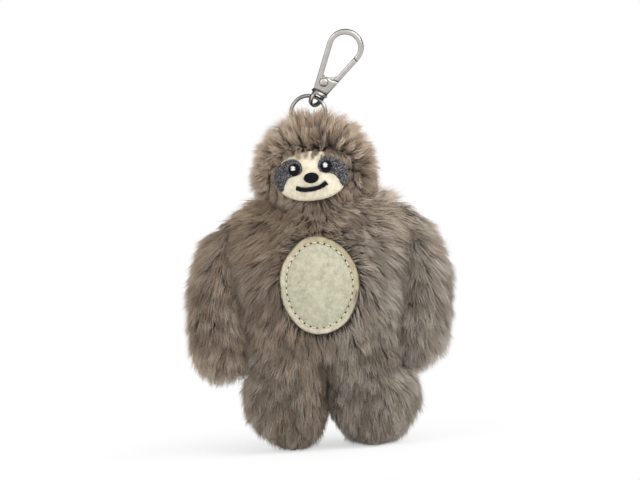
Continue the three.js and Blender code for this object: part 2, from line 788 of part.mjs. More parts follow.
function hookBody() {
  const innerRadius = hookBowRadius - hookBar;
  const [outerX, outerZ] = bowPoint(hookBowRadius, 1);
  const [innerX, innerZ] = bowPoint(innerRadius, 1);
  const innerBase = sideAt(hookBaseTop) - hookBar;
  const outline = new THREE.Shape();
  outline.moveTo(-hookBaseHalfWidth, 0);
  outline.lineTo(hookBaseHalfWidth, 0);
  outline.lineTo(outerX, outerZ);
  outline.absarc(0, hookBowZ, hookBowRadius, bowTouch, Math.PI - bowTouch, false);
  const window = new THREE.Path();
  window.moveTo(-innerBase, hookBaseTop);
  window.lineTo(-innerX, innerZ);
  window.absarc(0, hookBowZ, innerRadius, Math.PI - bowTouch, bowTouch, true);
  window.lineTo(innerBase, hookBaseTop);
  outline.holes.push(window);
  const half = hookThickness / 2;
  const gateSpace = boxBetween(
    [0, -half - overrun, hookBaseTop + (gateBottom - hookBaseTop) / 2],
    [hookBowRadius + overrun, half + overrun, rivetZ + gateReach + overrun],
  ).intersect(crossPin(gateReach + noseLip, hookThickness + 4 * overrun, 64, rivetX, rivetZ));
  const slot = boxBetween(
    [-hookBaseHalfWidth + (hookBar - slotWidth), -slotWidth / 2, slotBottom],
    [hookBowRadius, slotWidth / 2, hookBaseTop + overrun],
  );
  const rivetBore = crossPin(rivetShaftRadius + runningGap, hookThickness + 2 * overrun, 20, rivetX, rivetZ);
  return hookPlate(outline, hookThickness, hookBevel, 14)
    .subtract(gateSpace)
    .subtract(slot)
    .subtract(uprightPin(postRadius + runningGap, -overrun, slotBottom))
    .subtract(uprightPin(postHeadRadius + runningGap, postFloor, slotBottom + overrun))
    .subtract(rivetBore);
}

// A cylinder along the hook's length, from one height to another
function uprightPin(radius, low, high) {
  const geometry = new THREE.CylinderGeometry(radius, radius, high - low, 20);
  geometry.rotateX(Math.PI / 2);
  geometry.translate(0, 0, (low + high) / 2);
  return solid(geometry);
}

// The gate: a bar that closes the hook's side, with a heel in the slot that turns on the rivet
function gate() {
  const top = rivetZ + gateReach;
  const bar = new THREE.Shape([
    new THREE.Vector2(sideAt(gateBottom) - hookBar, gateBottom),
    new THREE.Vector2(sideAt(gateBottom), gateBottom),
    new THREE.Vector2(sideAt(top), top),
    new THREE.Vector2(sideAt(top) - hookBar, top),
  ]);
  const heel = new THREE.Shape();
  const rootX = sideAt(gateBottom) - hookBar / 2;
  const rootZ = gateBottom + hookBar / 2;
  const way = Math.atan2(rootZ - rivetZ, rootX - rivetX);
  const [c, s] = [Math.cos(way + Math.PI / 2), Math.sin(way + Math.PI / 2)];
  const arm = (hookBar * gateNeckShare) / 2;
  heel.moveTo(rootX + arm * c, rootZ + arm * s);
  heel.lineTo(rivetX + gateHeelRadius * c, rivetZ + gateHeelRadius * s);
  heel.absarc(rivetX, rivetZ, gateHeelRadius, way + Math.PI / 2, way - Math.PI / 2, false);
  heel.lineTo(rootX - arm * c, rootZ - arm * s);
  const heelShift = (slotWidth - gateHeelThickness) / 4;
  const heelPlate = hookPlate(heel, gateHeelThickness, 0).translate([0, -heelShift, 0]);
  const bore = crossPin(rivetShaftRadius + runningGap, hookThickness + 2 * overrun, 20, rivetX, rivetZ);
  const tip = crossPin(gateReach, hookThickness, 64, rivetX, rivetZ);
  return hookPlate(bar, hookThickness - gateInset, gateBevel).intersect(tip).add(heelPlate).subtract(bore);
}

// The gate's return spring: a hairpin of wire round the rivet, behind the heel
function gateSpring() {
  const turn = rivetShaftRadius + runningGap + springWire;
  const shape = new THREE.Shape();
  const [start, end] = [degrees(springStart), degrees(springEnd)];
  shape.absarc(rivetX, rivetZ, turn + springWire / 2, start, end, false);
  shape.absarc(rivetX, rivetZ, turn - springWire / 2, end, start, true);
  const depth = (slotWidth - gateHeelThickness) / 2;
  return hookPlate(shape, depth - runningGap, 0, 12).translate([0, slotWidth / 2 - depth / 2, 0]);
}

function gateRivet() {
  const half = hookThickness / 2;
  const dome = rivetDomeShares.map((share) => [
    rivetHeadRadius * share,
    half + runningGap + rivetHeadHeight * (1 - share ** 2),
  ]);
  const upper = [
    [rivetShaftRadius, half + runningGap],
    ...dome.toReversed(),
    [0, half + runningGap + rivetHeadHeight],
  ];
  const lower = upper.map(([radius, y]) => [radius, -y]).reverse();
  const geometry = new THREE.LatheGeometry([...lower, ...upper].map(vector2), 20);
  geometry.translate(rivetX, 0, rivetZ);
  return solid(geometry);
}

// The swivel: a post under the hook, a flared collar and an eye round the ring's wire
function swivelEye() {
  const top = -runningGap;
  const headFoot = postFloor + runningGap;
  const neck = [
    [0, top - collarHeight],
    [collarRadius - collarFootInset, top - collarHeight],
    [collarRadius + collarFlare, top - collarHeight * collarFlareShare],
    [collarRadius, top - collarHeight * collarStraightShare],
    [collarRadius - collarTopInset, top],
    [postRadius, top],
    [postRadius, headFoot],
    [postHeadRadius, headFoot],
    [postHeadRadius, headFoot + postHeadHeight],
    [0, headFoot + postHeadHeight],
  ];
  const turned = new THREE.LatheGeometry(neck.map(vector2), 24);
  turned.rotateX(Math.PI / 2);
  const eyeTop = top - collarHeight * eyeTopShare;
  const holeTop = top - collarHeight + eyeSink;
  const outerHalf = eyeHoleHalfWidth + eyeBar;
  const hoop = new THREE.Shape();
  const arcZ = holeTop - eyeHoleHeight + eyeHoleHalfWidth;
  hoop.moveTo(outerHalf, eyeTop);
  hoop.lineTo(-outerHalf, eyeTop);
  hoop.lineTo(-outerHalf, arcZ);
  hoop.absarc(0, arcZ, outerHalf, Math.PI, 2 * Math.PI, false);
  const hole = new THREE.Path();
  hole.moveTo(eyeHoleHalfWidth, holeTop);
  hole.lineTo(-eyeHoleHalfWidth, holeTop);
  hole.lineTo(-eyeHoleHalfWidth, arcZ);
  hole.absarc(0, arcZ, eyeHoleHalfWidth, Math.PI, 2 * Math.PI, false);
  hoop.holes.push(hole);
  const eye = hookPlate(hoop, eyeThickness, eyeBevel, 12).rotate([0, 0, eyeTurn]);
  return solid(turned).add(eye);
}

// The hook and its swivel, standing on the ring
function snapHook() {
  const lean = new THREE.Group();
  lean.position.z = ringCentreZ;
  lean.rotation.y = degrees(hookLean);
  const swing = new THREE.Group();
  swing.position.z = ringWireRadius;
  swing.rotation.x = degrees(hookForward);
  const base = new THREE.Group();
  base.position.z = wireBelowBase;
  base.add(
    metalMesh("hook_body", hookBody()),
    metalMesh("gate", gate()),
    metalMesh("gate_spring", gateSpring()),
    metalMesh("gate_rivet", gateRivet()),
    metalMesh("swivel_eye", swivelEye()),
  );
  swing.add(base);
  lean.add(swing);
  return lean;
}

const sloth = new THREE.Group();
sloth.name = "plush_sloth_charm";
sloth.add(
  ...headPieces(),
  ...facePieces(),
  ...torsoPieces(),
  ...armPieces(),
  ...legPieces(),
  ringTab(),
  splitRing(),
  snapHook(),
);

export default sloth;
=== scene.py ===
# %% [markdown]
# # A plush sloth on a snap hook
# The real thing is six stuffed pouches of fur fabric, sewn together, with a felt face, a felt belly and a
# metal fitting. Its fur is what one sees first, so most of this file grows hair.
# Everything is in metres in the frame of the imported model: +Z is up, and the face looks along -Y.
# Points are given in millimetres and multiplied by MM where a mesh is made. Node trees, lamps and the camera
# count in metres.

# %% Load the fixed frame
import math

import bmesh
import bpy
import numpy as np
from mathutils import Matrix, Vector
from mathutils.geometry import delaunay_2d_cdt


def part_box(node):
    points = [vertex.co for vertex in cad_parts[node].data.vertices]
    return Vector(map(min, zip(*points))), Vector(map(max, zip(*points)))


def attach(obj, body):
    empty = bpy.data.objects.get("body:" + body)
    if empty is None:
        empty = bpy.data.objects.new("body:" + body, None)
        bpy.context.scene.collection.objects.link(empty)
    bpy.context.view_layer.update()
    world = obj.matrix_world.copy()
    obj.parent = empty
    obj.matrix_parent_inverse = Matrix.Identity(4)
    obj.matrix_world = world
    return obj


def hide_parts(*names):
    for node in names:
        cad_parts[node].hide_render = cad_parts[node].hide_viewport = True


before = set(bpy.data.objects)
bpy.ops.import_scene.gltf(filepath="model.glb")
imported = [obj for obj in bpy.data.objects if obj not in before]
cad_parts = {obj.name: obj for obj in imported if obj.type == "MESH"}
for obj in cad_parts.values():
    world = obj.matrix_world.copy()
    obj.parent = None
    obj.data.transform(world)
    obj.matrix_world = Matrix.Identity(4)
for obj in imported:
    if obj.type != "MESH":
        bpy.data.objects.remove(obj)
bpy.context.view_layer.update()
MM = 0.001
SIDES = (("left", -1), ("right", 1))

# %% [markdown]
# ## Helpers for node trees
# A node tree is a formula drawn as boxes. These helpers let one write it as a formula again: each adds one
# node, fills its sockets in order and hands back its output, which the next call takes as a value.


# %% Wiring helpers
def put(tree, kind, *values, out=0, **settings):
    """A new node with its settings, whose sockets take the values in order. It hands back one output."""
    node = tree.nodes.new(kind)
    for key, value in settings.items():
        setattr(node, key, value)
    for socket, value in zip([socket for socket in node.inputs if socket.enabled], values):
        if isinstance(value, bpy.types.NodeSocket):
            tree.links.new(value, socket)
        elif value is not None:
            socket.default_value = value
    return [socket for socket in node.outputs if socket.enabled][out]


def calc(tree, operation, *values):
    return put(tree, "ShaderNodeMath", *values, operation=operation)


def vector(tree, operation, *values):
    return put(tree, "ShaderNodeVectorMath", *values, operation=operation)


def folded(tree, join, operation, first, *others):
    """Many values joined two by two, from the first on."""
    for other in others:
        first = join(tree, operation, first, other)
    return first


def times(tree, *values):
    return folded(tree, calc, "MULTIPLY", *values)


def added(tree, *vectors):
    return folded(tree, vector, "ADD", *vectors)


def lesser(tree, a, b):
    return vector(tree, "SUBTRACT", a, b)


def scaled(tree, way, *factors):
    return vector(tree, "SCALE", way, times(tree, *factors))


def normal_of(tree, way):
    return vector(tree, "NORMALIZE", way)


def cross(tree, a, b):
    return vector(tree, "CROSS_PRODUCT", a, b)


def apart(tree, way):
    """The three numbers of a vector."""
    return put(tree, "ShaderNodeSeparateXYZ", way).node.outputs


def noise(tree, place, scale, detail, roughness, out=0):
    return put(tree, "ShaderNodeTexNoise", place, scale, detail, roughness, out=out)


# %% Helpers for values that ride on a mesh's points, and for whole trees
def named(tree, name, kind="FLOAT"):
    return put(tree, "GeometryNodeInputNamedAttribute", name, data_type=kind)


def named_way(tree, name):
    return named(tree, name, "FLOAT_VECTOR")


def kept(tree, geometry, name, value, kind=None, domain="POINT"):
    """The geometry with a value written on it, as a number or as a vector, whichever it is."""
    kind = kind or {"VALUE": "FLOAT", "VECTOR": "FLOAT_VECTOR"}[value.type]
    written = geometry, None, name, value
    return put(tree, "GeometryNodeStoreNamedAttribute", *written, data_type=kind, domain=domain)


def without(tree, geometry, names):
    for name in names:
        geometry = put(tree, "GeometryNodeRemoveAttribute", geometry, name)
    return geometry


def new_tree(name, inputs, kind):
    """A tree with named inputs, and their sockets by name."""
    tree = bpy.data.node_groups.new(name, kind)
    for label, socket_kind, default in inputs:
        socket = tree.interface.new_socket(label, in_out="INPUT", socket_type="NodeSocket" + socket_kind)
        if default is not None:
            socket.default_value = default
    return tree, {socket.name: socket for socket in tree.nodes.new("NodeGroupInput").outputs}


def growing_tree(name, **usual):
    """A tree that grows a mesh on another. Its own inputs are given with their usual values."""
    kinds = {float: "Float", int: "Int", tuple: "Vector"}
    inputs = [(label.replace("_", " "), kinds[type(value)], value) for label, value in usual.items()]
    inputs = [("Geometry", "Geometry", None), *inputs, ("Material", "Material", None)]
    tree, get = new_tree(name, inputs, "GeometryNodeTree")
    tree.interface.new_socket("Geometry", in_out="OUTPUT", socket_type="NodeSocketGeometry")
    return tree, get


def finish_tree(tree, geometry, material):
    geometry = put(tree, "GeometryNodeSetShadeSmooth", geometry, None, True)
    geometry = put(tree, "GeometryNodeSetMaterial", geometry, None, material)
    tree.links.new(geometry, tree.nodes.new("NodeGroupOutput").inputs[0])
    return tree


def linked(name, data):
    made = bpy.data.objects.new(name, data)
    bpy.context.collection.objects.link(made)
    return made


def grown(source, tree, name, **values):
    """The mesh that a tree makes of an object, as an object of its own."""
    modifier = source.modifiers.new("grow", "NODES")
    modifier.node_group = tree
    for item in tree.interface.items_tree:
        key = item.name.replace(" ", "_")
        if item.in_out == "INPUT" and key in values:
            modifier[item.identifier] = values[key]
    bpy.context.view_layer.update()
    ready = source.evaluated_get(bpy.context.evaluated_depsgraph_get())
    mesh = bpy.data.meshes.new_from_object(ready)
    source.modifiers.remove(modifier)
    mesh.name = name
    mesh.calc_loop_triangles()
    print(f"{name}: {len(mesh.loop_triangles)} triangles")
    return linked(name, mesh)


def wear(made, body, slot, *nodes, material=None):
    """Dress a body in a piece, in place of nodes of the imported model."""
    if material:
        made.data.materials.append(material)
    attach(made, body)
    if nodes:
        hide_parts(*nodes)


# %% [markdown]
# ## The pouches under the fur
# The real pouches are knitted backing cloth, sewn inside out, turned and stuffed hard. Nobody sees the cloth,
# but its form decides where every hair stands. Each pouch is a closed mesh of rings: superellipses up the
# body and the limbs, and rings round the sideways axis for the head. It lies a pile's depth inside the
# outline. The widths come as shares of a height, read off the outline and joined by a smooth curve.


# %% Curve through shares, and rings closed into a pouch
def smooth(low, high, x):
    """From 0 at low to 1 at high, with soft ends."""
    t = np.clip((np.asarray(x, float) - low) / (high - low), 0, 1)
    return t * t * (3 - 2 * t)


def share_curve(*pairs):
    at, value = np.array(pairs, float).T
    slope = np.gradient(value, at)

    def curve(x):
        x = np.clip(np.asarray(x, float), at[0], at[-1])
        i = np.clip(np.searchsorted(at, x) - 1, 0, len(at) - 2)
        h = at[i + 1] - at[i]
        t = (x - at[i]) / h
        ends = value[i] * (1 + 2 * t) * (1 - t) ** 2 + value[i + 1] * t * t * (3 - 2 * t)
        return ends + slope[i] * h * t * (1 - t) ** 2 + slope[i + 1] * h * t * t * (t - 1)

    return curve


def solid_from(name, points, faces, sharp=None):
    """A closed and smoothly shaded object, whose edges stay crisp from sharp degrees on."""
    mesh = bpy.data.meshes.new(name)
    mesh.from_pydata((points * MM).tolist(), [], faces)
    shell = bmesh.new()
    shell.from_mesh(mesh)
    bmesh.ops.recalc_face_normals(shell, faces=shell.faces)
    if shell.calc_volume(signed=True) < 0:
        bmesh.ops.reverse_faces(shell, faces=shell.faces)
    shell.to_mesh(mesh)
    shell.free()
    mesh.shade_smooth()
    if sharp:
        mesh.set_sharp_from_angle(angle=math.radians(sharp))
    return linked(name, mesh)


def solid_of_rings(name, rings, ends=None, sharp=None):
    """A closed form of rings of points. Its ends are closed to given points, or to the end rings' middles."""
    count, sides, _ = rings.shape
    points = np.vstack([rings.reshape(-1, 3), *(ends or (rings[0].mean(0), rings[-1].mean(0)))])
    faces = []
    for ring in range(count - 1):
        for side in range(sides):
            a, b = ring * sides + side, ring * sides + (side + 1) % sides
            faces.append((a, b, b + sides, a + sides))
    low, high, last = count * sides, count * sides + 1, (count - 1) * sides
    for side in range(sides):
        after = (side + 1) % sides
        faces += [(low, after, side), (high, last + side, last + after)]
    return solid_from(name, points, faces, sharp)


def turns(count):
    return np.linspace(0, 2 * math.pi, count, endpoint=False)


def upright_rings(bottom, top, inner, outer, depth, rings, sides, power=2.0, pole=0.02, thinnest=1.0):
    """Superellipses up Z. inner and outer are their ends across, and depth is half their depth."""
    share = 0.5 - 0.5 * np.cos(np.linspace(pole, math.pi - pole, rings))
    c, s = np.cos(turns(sides)), np.sin(turns(sides))
    low = inner(share)
    high = np.maximum(outer(share), low + thinnest)
    across, deep = (np.sign(way) * np.abs(way) ** (2 / power) for way in (c, s))
    out = np.empty((rings, sides, 3))
    out[..., 0] = ((low + high) / 2)[:, None] + ((high - low) / 2)[:, None] * across
    out[..., 1] = np.maximum(depth(share), thinnest / 2)[:, None] * deep
    out[..., 2] = (bottom + (top - bottom) * share)[:, None]
    return out


# %% The head pouch: round, as wide as high
PILE, HEAD_PILE = 5.0, 6.6
HEAD_HALF = np.array([25.8, 24.2, 24.2])
HEAD_CENTRE = np.array([0.8, -0.5, 110.0])
CROWN_TAPER, CROWN_HEIGHT = 0.13, 20


def head_rings(inset, rings=60, sides=88, pole=0.03):
    along = np.linspace(pole, math.pi - pole, rings)
    turn = turns(sides)
    half = HEAD_HALF - inset
    out = np.empty((rings, sides, 3))
    out[..., 0] = -half[0] * np.cos(along)[:, None]
    out[..., 1] = half[1] * np.sin(along)[:, None] * np.cos(turn)
    out[..., 2] = half[2] * np.sin(along)[:, None] * np.sin(turn)
    out[..., 0] *= 1 - CROWN_TAPER * smooth(0, CROWN_HEIGHT, out[..., 2])
    return out + HEAD_CENTRE


# %% The body pouch: flat at its sides, where the arms are sewn on
BODY_LOW, BODY_HIGH = 33.0, 103.0
BODY_HALF, BODY_POWER = (35.0, 21.3), 2.6
SIDE_PLANE, SIDE_GAP = 32.5, 0.3
SIDE_PILE, HEM_PILE, SOLE_PILE = 0.25, 0.6, 0.5  # shares of the pile, where it is pressed or worn short
body_width = share_curve(
    (0, 0.55), (0.09, 0.84), (0.24, 0.96), (0.44, 1), (0.66, 1), (0.84, 0.98), (0.9, 0.91), (0.95, 0.84),
    (1, 0.775),
)
body_depth = share_curve(
    (0, 0.58), (0.09, 0.8), (0.24, 0.94), (0.42, 1), (0.6, 0.98), (0.78, 0.91), (0.9, 0.83), (1, 0.62)
)


def body_rings(inset):
    def half_width(share):
        return np.minimum(BODY_HALF[0] * body_width(share) - inset, SIDE_PLANE - inset * SIDE_PILE)

    return upright_rings(
        BODY_LOW + inset * HEM_PILE,
        BODY_HIGH - inset,
        lambda s: -half_width(s),
        half_width,
        lambda s: BODY_HALF[1] * body_depth(s) - inset,
        power=BODY_POWER,
        rings=64,
        sides=104,
    )


# %% The arm pouches: lobes that hang from the shoulder, flat where they lie against the body
ARM_LOW, ARM_HIGH = 30.4, 98.0
ARM_SPINE, ARM_HALF = 39.6, (14.5, 14.0)
arm_width = share_curve(
    (0, 0.3), (0.045, 0.56), (0.12, 0.8), (0.24, 0.95), (0.44, 1), (0.67, 0.94), (0.82, 0.81), (0.92, 0.6),
    (1, 0.26),
)
arm_depth = share_curve(
    (0, 0.32), (0.045, 0.55), (0.12, 0.79), (0.24, 0.94), (0.44, 1), (0.67, 0.97), (0.82, 0.85), (0.92, 0.62),
    (1, 0.3),
)
arm_lean = share_curve(
    (0, 1.01), (0.24, 1.01), (0.44, 1), (0.67, 0.935), (0.82, 0.86), (0.92, 0.81), (1, 0.79)
)


def arm_rings(inset):
    against_body = SIDE_PLANE + SIDE_GAP + inset * SIDE_PILE

    def half_width(share):
        return (ARM_HALF[0] - inset) * arm_width(share)

    return upright_rings(
        ARM_LOW + inset,
        ARM_HIGH - inset,
        lambda s: np.maximum(ARM_SPINE * arm_lean(s) - half_width(s), against_body),
        lambda s: ARM_SPINE * arm_lean(s) + half_width(s),
        lambda s: (ARM_HALF[1] - inset) * arm_depth(s),
        rings=56,
        sides=56,
    )


# %% The leg pouches: stubby lobes with the hip's swell at their top
LEG_HIGH, LEG_POWER = 54.0, 2.15
INSEAM_PILE, INSTEP_PILE = 0.24, 0.56  # shares of the pile inside the legs, and what the feet add
leg_outer = share_curve(
    (0, 19), (0.06, 26), (0.12, 30.2), (0.19, 33.2), (0.28, 35.7), (0.38, 36.8), (0.47, 36.4), (0.53, 35.2),
    (0.58, 33.2), (0.64, 32.2), (0.8, 31.6), (0.92, 28), (1, 22),
)
leg_inner = share_curve(
    (0, 15), (0.06, 9), (0.12, 5.4), (0.19, 2.8), (0.28, 0.7), (0.38, 0.4), (0.47, 0.4), (0.58, 0.5),
    (0.64, 0.7), (0.8, 1.4), (0.92, 5), (1, 11),
)
leg_depth = share_curve(
    (0, 8.5), (0.06, 11), (0.12, 12.7), (0.2, 14), (0.32, 15.2), (0.42, 15.8), (0.5, 16.8), (0.6, 18),
    (0.68, 18.4), (0.78, 17.6), (0.9, 13), (0.96, 8.6), (1, 5),
)


def leg_rings(inset):
    return upright_rings(
        inset * SOLE_PILE,
        LEG_HIGH - inset,
        lambda s: leg_inner(s) + inset * (INSEAM_PILE + INSTEP_PILE * smooth(0.32, 0.12, s)),
        lambda s: leg_outer(s) - inset,
        lambda s: leg_depth(s) - inset,
        power=LEG_POWER,
        rings=50,
        sides=64,
    )


# %% [markdown]
# ## Where pouches press on one another
# The head sits in the body's collar and the hips sit in its lower corners. Two clean forms would run through
# each other, so the body's points give way: those that lie inside a neighbour move to its surface.
# Where one pouch is hidden in another, no hair is grown, because nobody could see it.

# %% Give way to the head and the hips
HIP_CENTRE = np.array([16.5, 0.0, 36.0])
HIP_RADIUS, HIP_HALF_LENGTH, HIP_POWER = 18.4, 15.8, 2.5
TINY = 1e-6  # keeps a division from one by nothing


def out_of_head(points, gap):
    way = (points - HEAD_CENTRE) / (HEAD_HALF + gap)
    size = np.linalg.norm(way, axis=-1, keepdims=True)
    moved = HEAD_CENTRE + way / np.maximum(size, TINY) * (HEAD_HALF + gap)
    return np.where(size < 1, moved, points)


def out_of_hips(points, gap):
    out = points.copy()
    for sign in (-1, 1):
        along = np.clip(np.abs(out[..., 0] - sign * HIP_CENTRE[0]) / (HIP_HALF_LENGTH + gap), 0, 1)
        radius = (HIP_RADIUS + gap) * (1 - along**HIP_POWER) ** (1 / HIP_POWER)
        y, z = out[..., 1], out[..., 2] - HIP_CENTRE[2]
        size = np.hypot(y, z)
        push = np.where((size < radius) & (along < 1), radius / np.maximum(size, TINY), 1)
        out[..., 1], out[..., 2] = y * push, HIP_CENTRE[2] + z * push
    return out


def in_ring(across, deep, power):
    """Whether a point lies inside a superellipse, from its shares of the half width and the half depth."""
    return np.abs(across) ** power + np.abs(deep) ** power < 1


def inside_body(points, inset):
    x, y, z = points.T
    share = np.clip((z - BODY_LOW) / (BODY_HIGH - BODY_LOW), 0, 1)
    half = np.minimum(BODY_HALF[0] * body_width(share), SIDE_PLANE) - inset
    within = in_ring(x / half, y / (BODY_HALF[1] * body_depth(share) - inset), BODY_POWER)
    return within & (z > BODY_LOW + inset) & (z < BODY_HIGH - inset * 0.5)


def inside_head(points, inset):
    return np.linalg.norm((points - HEAD_CENTRE) / (HEAD_HALF - inset), axis=1) < 1


def inside_leg(points, inset):
    x, y, z = points.T
    share = np.clip(z / LEG_HIGH, 0, 1)
    low, high = leg_inner(share) + inset, leg_outer(share) - inset
    across = (np.abs(x) - (low + high) / 2) / np.maximum((high - low) / 2, 0.5)
    return in_ring(across, y / np.maximum(leg_depth(share) - inset, 0.5), LEG_POWER) & (z < LEG_HIGH - inset)


# %% [markdown]
# ## Combing
# Hair needs a direction, a length and a thickness of growth at every point of the cloth. They are written on
# the pouch's points, and the hair's node tree reads them: flow is the way it is combed, lift how steeply it
# stands, pile its length, cover how much of it grows, warmth how much of it is warm brown, and pale how far
# its tones are shifted to the light end.
# The formulas are built of smooth(), which eases a change in between two places given in millimetres.


# %% Helpers for combing
def write(made, name, values, kind="FLOAT"):
    layer = made.data.attributes.new(name, kind, "POINT")
    what = "vector" if kind == "FLOAT_VECTOR" else "value"
    layer.data.foreach_set(what, np.asarray(values, np.float32).ravel())


def unit(v):
    return v / np.maximum(np.linalg.norm(v, axis=-1, keepdims=True), 1e-9)


def read_all(items, what):
    flat = np.empty(len(items) * 3)
    items.foreach_get(what, flat)
    return flat.reshape(-1, 3)


def points_of(made):
    return read_all(made.data.vertices, "co") / MM


def normals_of(made):
    return read_all(made.data.vertex_normals, "vector")


SAG = np.array([0, 0, -0.05])
COMBED_FLAT = 0.85  # how much of the part that points out of the cloth is taken off the flow


def comb(made, flow, pile, **amounts):
    count = len(made.data.vertices)
    n, flow = normals_of(made), unit(flow)
    flow = unit(flow - COMBED_FLAT * n * np.sum(flow * n, axis=1, keepdims=True) + SAG)
    write(made, "flow", flow, "FLOAT_VECTOR")
    for name, value in {"pile": pile * MM, **amounts}.items():
        write(made, name, np.broadcast_to(value, count))


# %% The face's and the belly's ovals, which stay bare
FACE_CENTRE, FACE_HALF = np.array([-0.6, 108.5]), np.array([14.2, 9.4])
BELLY_CENTRE, BELLY_HALF = np.array([-0.4, 66.1]), np.array([15.8, 19.5])


def beyond_oval(points, centre, half):
    """About how many millimetres a point of the front view lies outside an oval."""
    return (np.linalg.norm((points[:, [0, 2]] - centre) / half, axis=1) - 1) * half.min()


# %% Comb the head: out from the face, up at the crown, down and out at the cheeks
FACE_WHORL, CROWN_WHORL = 105.0, HEAD_CENTRE + np.array([0, -1.0, 24.0])  # where the hair parts to all sides


def combed_head_way(p, low, upper, fringe):
    x, y, z = p.T
    front = smooth(6, -12, y)[:, None]
    from_face = unit(np.stack([x, 0 * x, z - FACE_WHORL], 1))
    flow = unit(from_face * front * 1.4 + unit(p - CROWN_WHORL) * (1 - front) + np.array([0, 0, -0.1]))
    flow = unit(flow * (1 - 0.45 * low[:, None]) + np.array([0, 0, -0.9]) * low[:, None])
    over_felt = unit(np.stack([(FACE_CENTRE[0] - x) / 16, 0 * x, -0.35 - 0.65 * upper], 1))
    return unit(flow * (1 - fringe[:, None]) + over_felt * fringe[:, None])


def comb_head(made):
    p = points_of(made)
    x, y, z = p.T
    low, high, upper = smooth(108, 92, z), smooth(116, 129, z), smooth(110, 114, z)
    rim, ahead = beyond_oval(p, FACE_CENTRE, FACE_HALF), y < -6
    bare = ahead * smooth(-0.2, -1.4, rim)
    close = ahead * smooth(5, 0, rim)
    fringe = ahead * smooth(3.2, 1.4, rim) * smooth(101, 106, z)
    brow = ahead * smooth(1.5, 3.5, rim) * smooth(9, 5, rim) * smooth(108, 114, z)
    parting = smooth(3.2, 2.0, np.abs(y)) * smooth(9.5, 8.0, np.abs(x)) * smooth(122, 124, z)
    sides = smooth(11, 20, np.abs(x)) * smooth(94, 102, z)
    length = 9.4 + 2.0 * high + 1.2 * low - 1.6 * close - 1.0 * sides
    comb(
        made,
        combed_head_way(p, low, upper, fringe),
        pile=length * (1 - fringe) + (3.1 + upper + np.clip(rim, 0, 5)) * fringe,
        lift=0.52 + 0.14 * high - 0.2 * low - 0.06 * close + 0.2 * brow + 0.16 * sides,
        cover=(1 - bare) * (1 - inside_body(p, PILE + 1.0)) * (1 - 0.85 * parting) * (1 + 1.2 * fringe),
        warmth=0.85 - 0.3 * low - 0.2 * smooth(0, 25, x),
        pale=0.5 * smooth(8, -12, x),
    )


# %% Comb the body: down, and out towards the arms
def comb_body(made):
    p, n = points_of(made), normals_of(made)
    x, y, z = p.T
    side = np.sign(x)
    out = side * smooth(1, 22, np.abs(x))
    high, hem = smooth(66, 92, z), smooth(48, 38, z)
    corner = smooth(18, 27, np.abs(x)) * smooth(60, 76, z)
    yoke = smooth(90, 98, z) * smooth(12, 24, np.abs(x))
    rim, ahead = beyond_oval(p, BELLY_CENTRE, BELLY_HALF), y < -4
    bare = ahead * smooth(1.2, -0.6, rim)
    above = ahead * smooth(8, 1, rim) * smooth(66, 78, z)
    beside = np.clip((x - BELLY_CENTRE[0]) / 6, -1, 1)
    around = beside * above
    beside_arm = smooth(0.8, 0.97, np.abs(n[:, 0])) * smooth(84, 70, z) * smooth(44, 58, z)
    shoulder = (4.4 + 0.9 * side) * corner * (1 - (0.4 - 0.25 * side) * yoke)
    hidden = inside_head(p, PILE + 0.5) | inside_leg(p, PILE + 1.5)
    sideways = (0.3 + 0.7 * high + 1.2 * corner) * out + 1.6 * around
    comb(
        made,
        np.stack([sideways, 0 * out, 0.9 * np.abs(around) - 1], 1),
        pile=9.6 - 6.0 * beside_arm + 2.4 * hem + shoulder - (5.8 - 1.2 * np.abs(beside)) * above,
        lift=0.48 - 0.22 * beside_arm - 0.12 * hem - 0.06 * corner + (0.19 + 0.13 * side) * yoke,
        cover=(1 - bare) * (1 - hidden) * (1 - 0.5 * beside_arm),
        warmth=0.6 + 0.3 * high - 0.55 * smooth(-15, 25, x),
        # Painted light: the hair is painted paler towards the right, the side that the key lamp lights more.
        pale=-0.12 + 0.3 * smooth(-8, 18, x),
    )


# %% Comb the arms and the legs: down, and a little outwards
def comb_arm(made, sign):
    (x, _, z), n = points_of(made).T, normals_of(made)
    out = smooth(34, 47, np.abs(x))
    inner, facing = (smooth(low, high, -sign * n[:, 0]) for low, high in ((0.8, 0.97), (0.1, 0.7)))
    high, top = smooth(70, 90, z), smooth(82, 92, z)
    side = (0.3 + 0.3 * high) * out + 1.2 * top + 0.6 * (1 - out) * smooth(62, 76, z)
    comb(
        made,
        np.stack([sign * side, 0 * out, -np.ones(len(x))], 1),
        pile=9.4 - 5.6 * inner * (1 - high) * smooth(44, 58, z) + 1.2 * high - (2.0 - 0.8 * sign) * top,
        lift=0.46 - 0.2 * inner - (0.14 - 0.08 * sign) * top,
        cover=(1 - 0.5 * inner) * (1 - 0.6 * facing * high * (1 - top)),
        warmth=0.38 - 0.24 * sign + 0.15 * smooth(60, 92, z),
        # Painted light: the right arm's tones are shifted a little paler than the left arm's.
        pale=0.18 + 0.04 * sign,
    )


def comb_leg(made, sign):
    p, n = points_of(made), normals_of(made)
    x, _, z = p.T
    out = sign * 0.22 * smooth(14, 30, np.abs(x))
    sole = smooth(-0.55, -0.9, n[:, 2]) * smooth(5, 3.5, z)
    inner = smooth(0.8, 0.97, -sign * n[:, 0])
    top = smooth(42, 48, z)
    hollow = smooth(9, 3, np.abs(x)) * smooth(10, 16, z)
    comb(
        made,
        np.stack([out, 0 * out, -np.ones(len(x))], 1),
        pile=8.8 - 4.6 * inner - 2.5 * top - 3.6 * hollow * (1 - inner),
        lift=0.44 - 0.14 * inner - 0.1 * top,
        cover=(1 - sole) * (1 - 0.4 * inner) * (1 - inside_body(p, PILE + 2.5)) * (1 - 0.4 * hollow),
        warmth=0.25 - 0.16 * sign,
        # Painted light: the right leg's tones are shifted a little paler than the left leg's.
        pale=-0.07 + 0.05 * sign,
    )


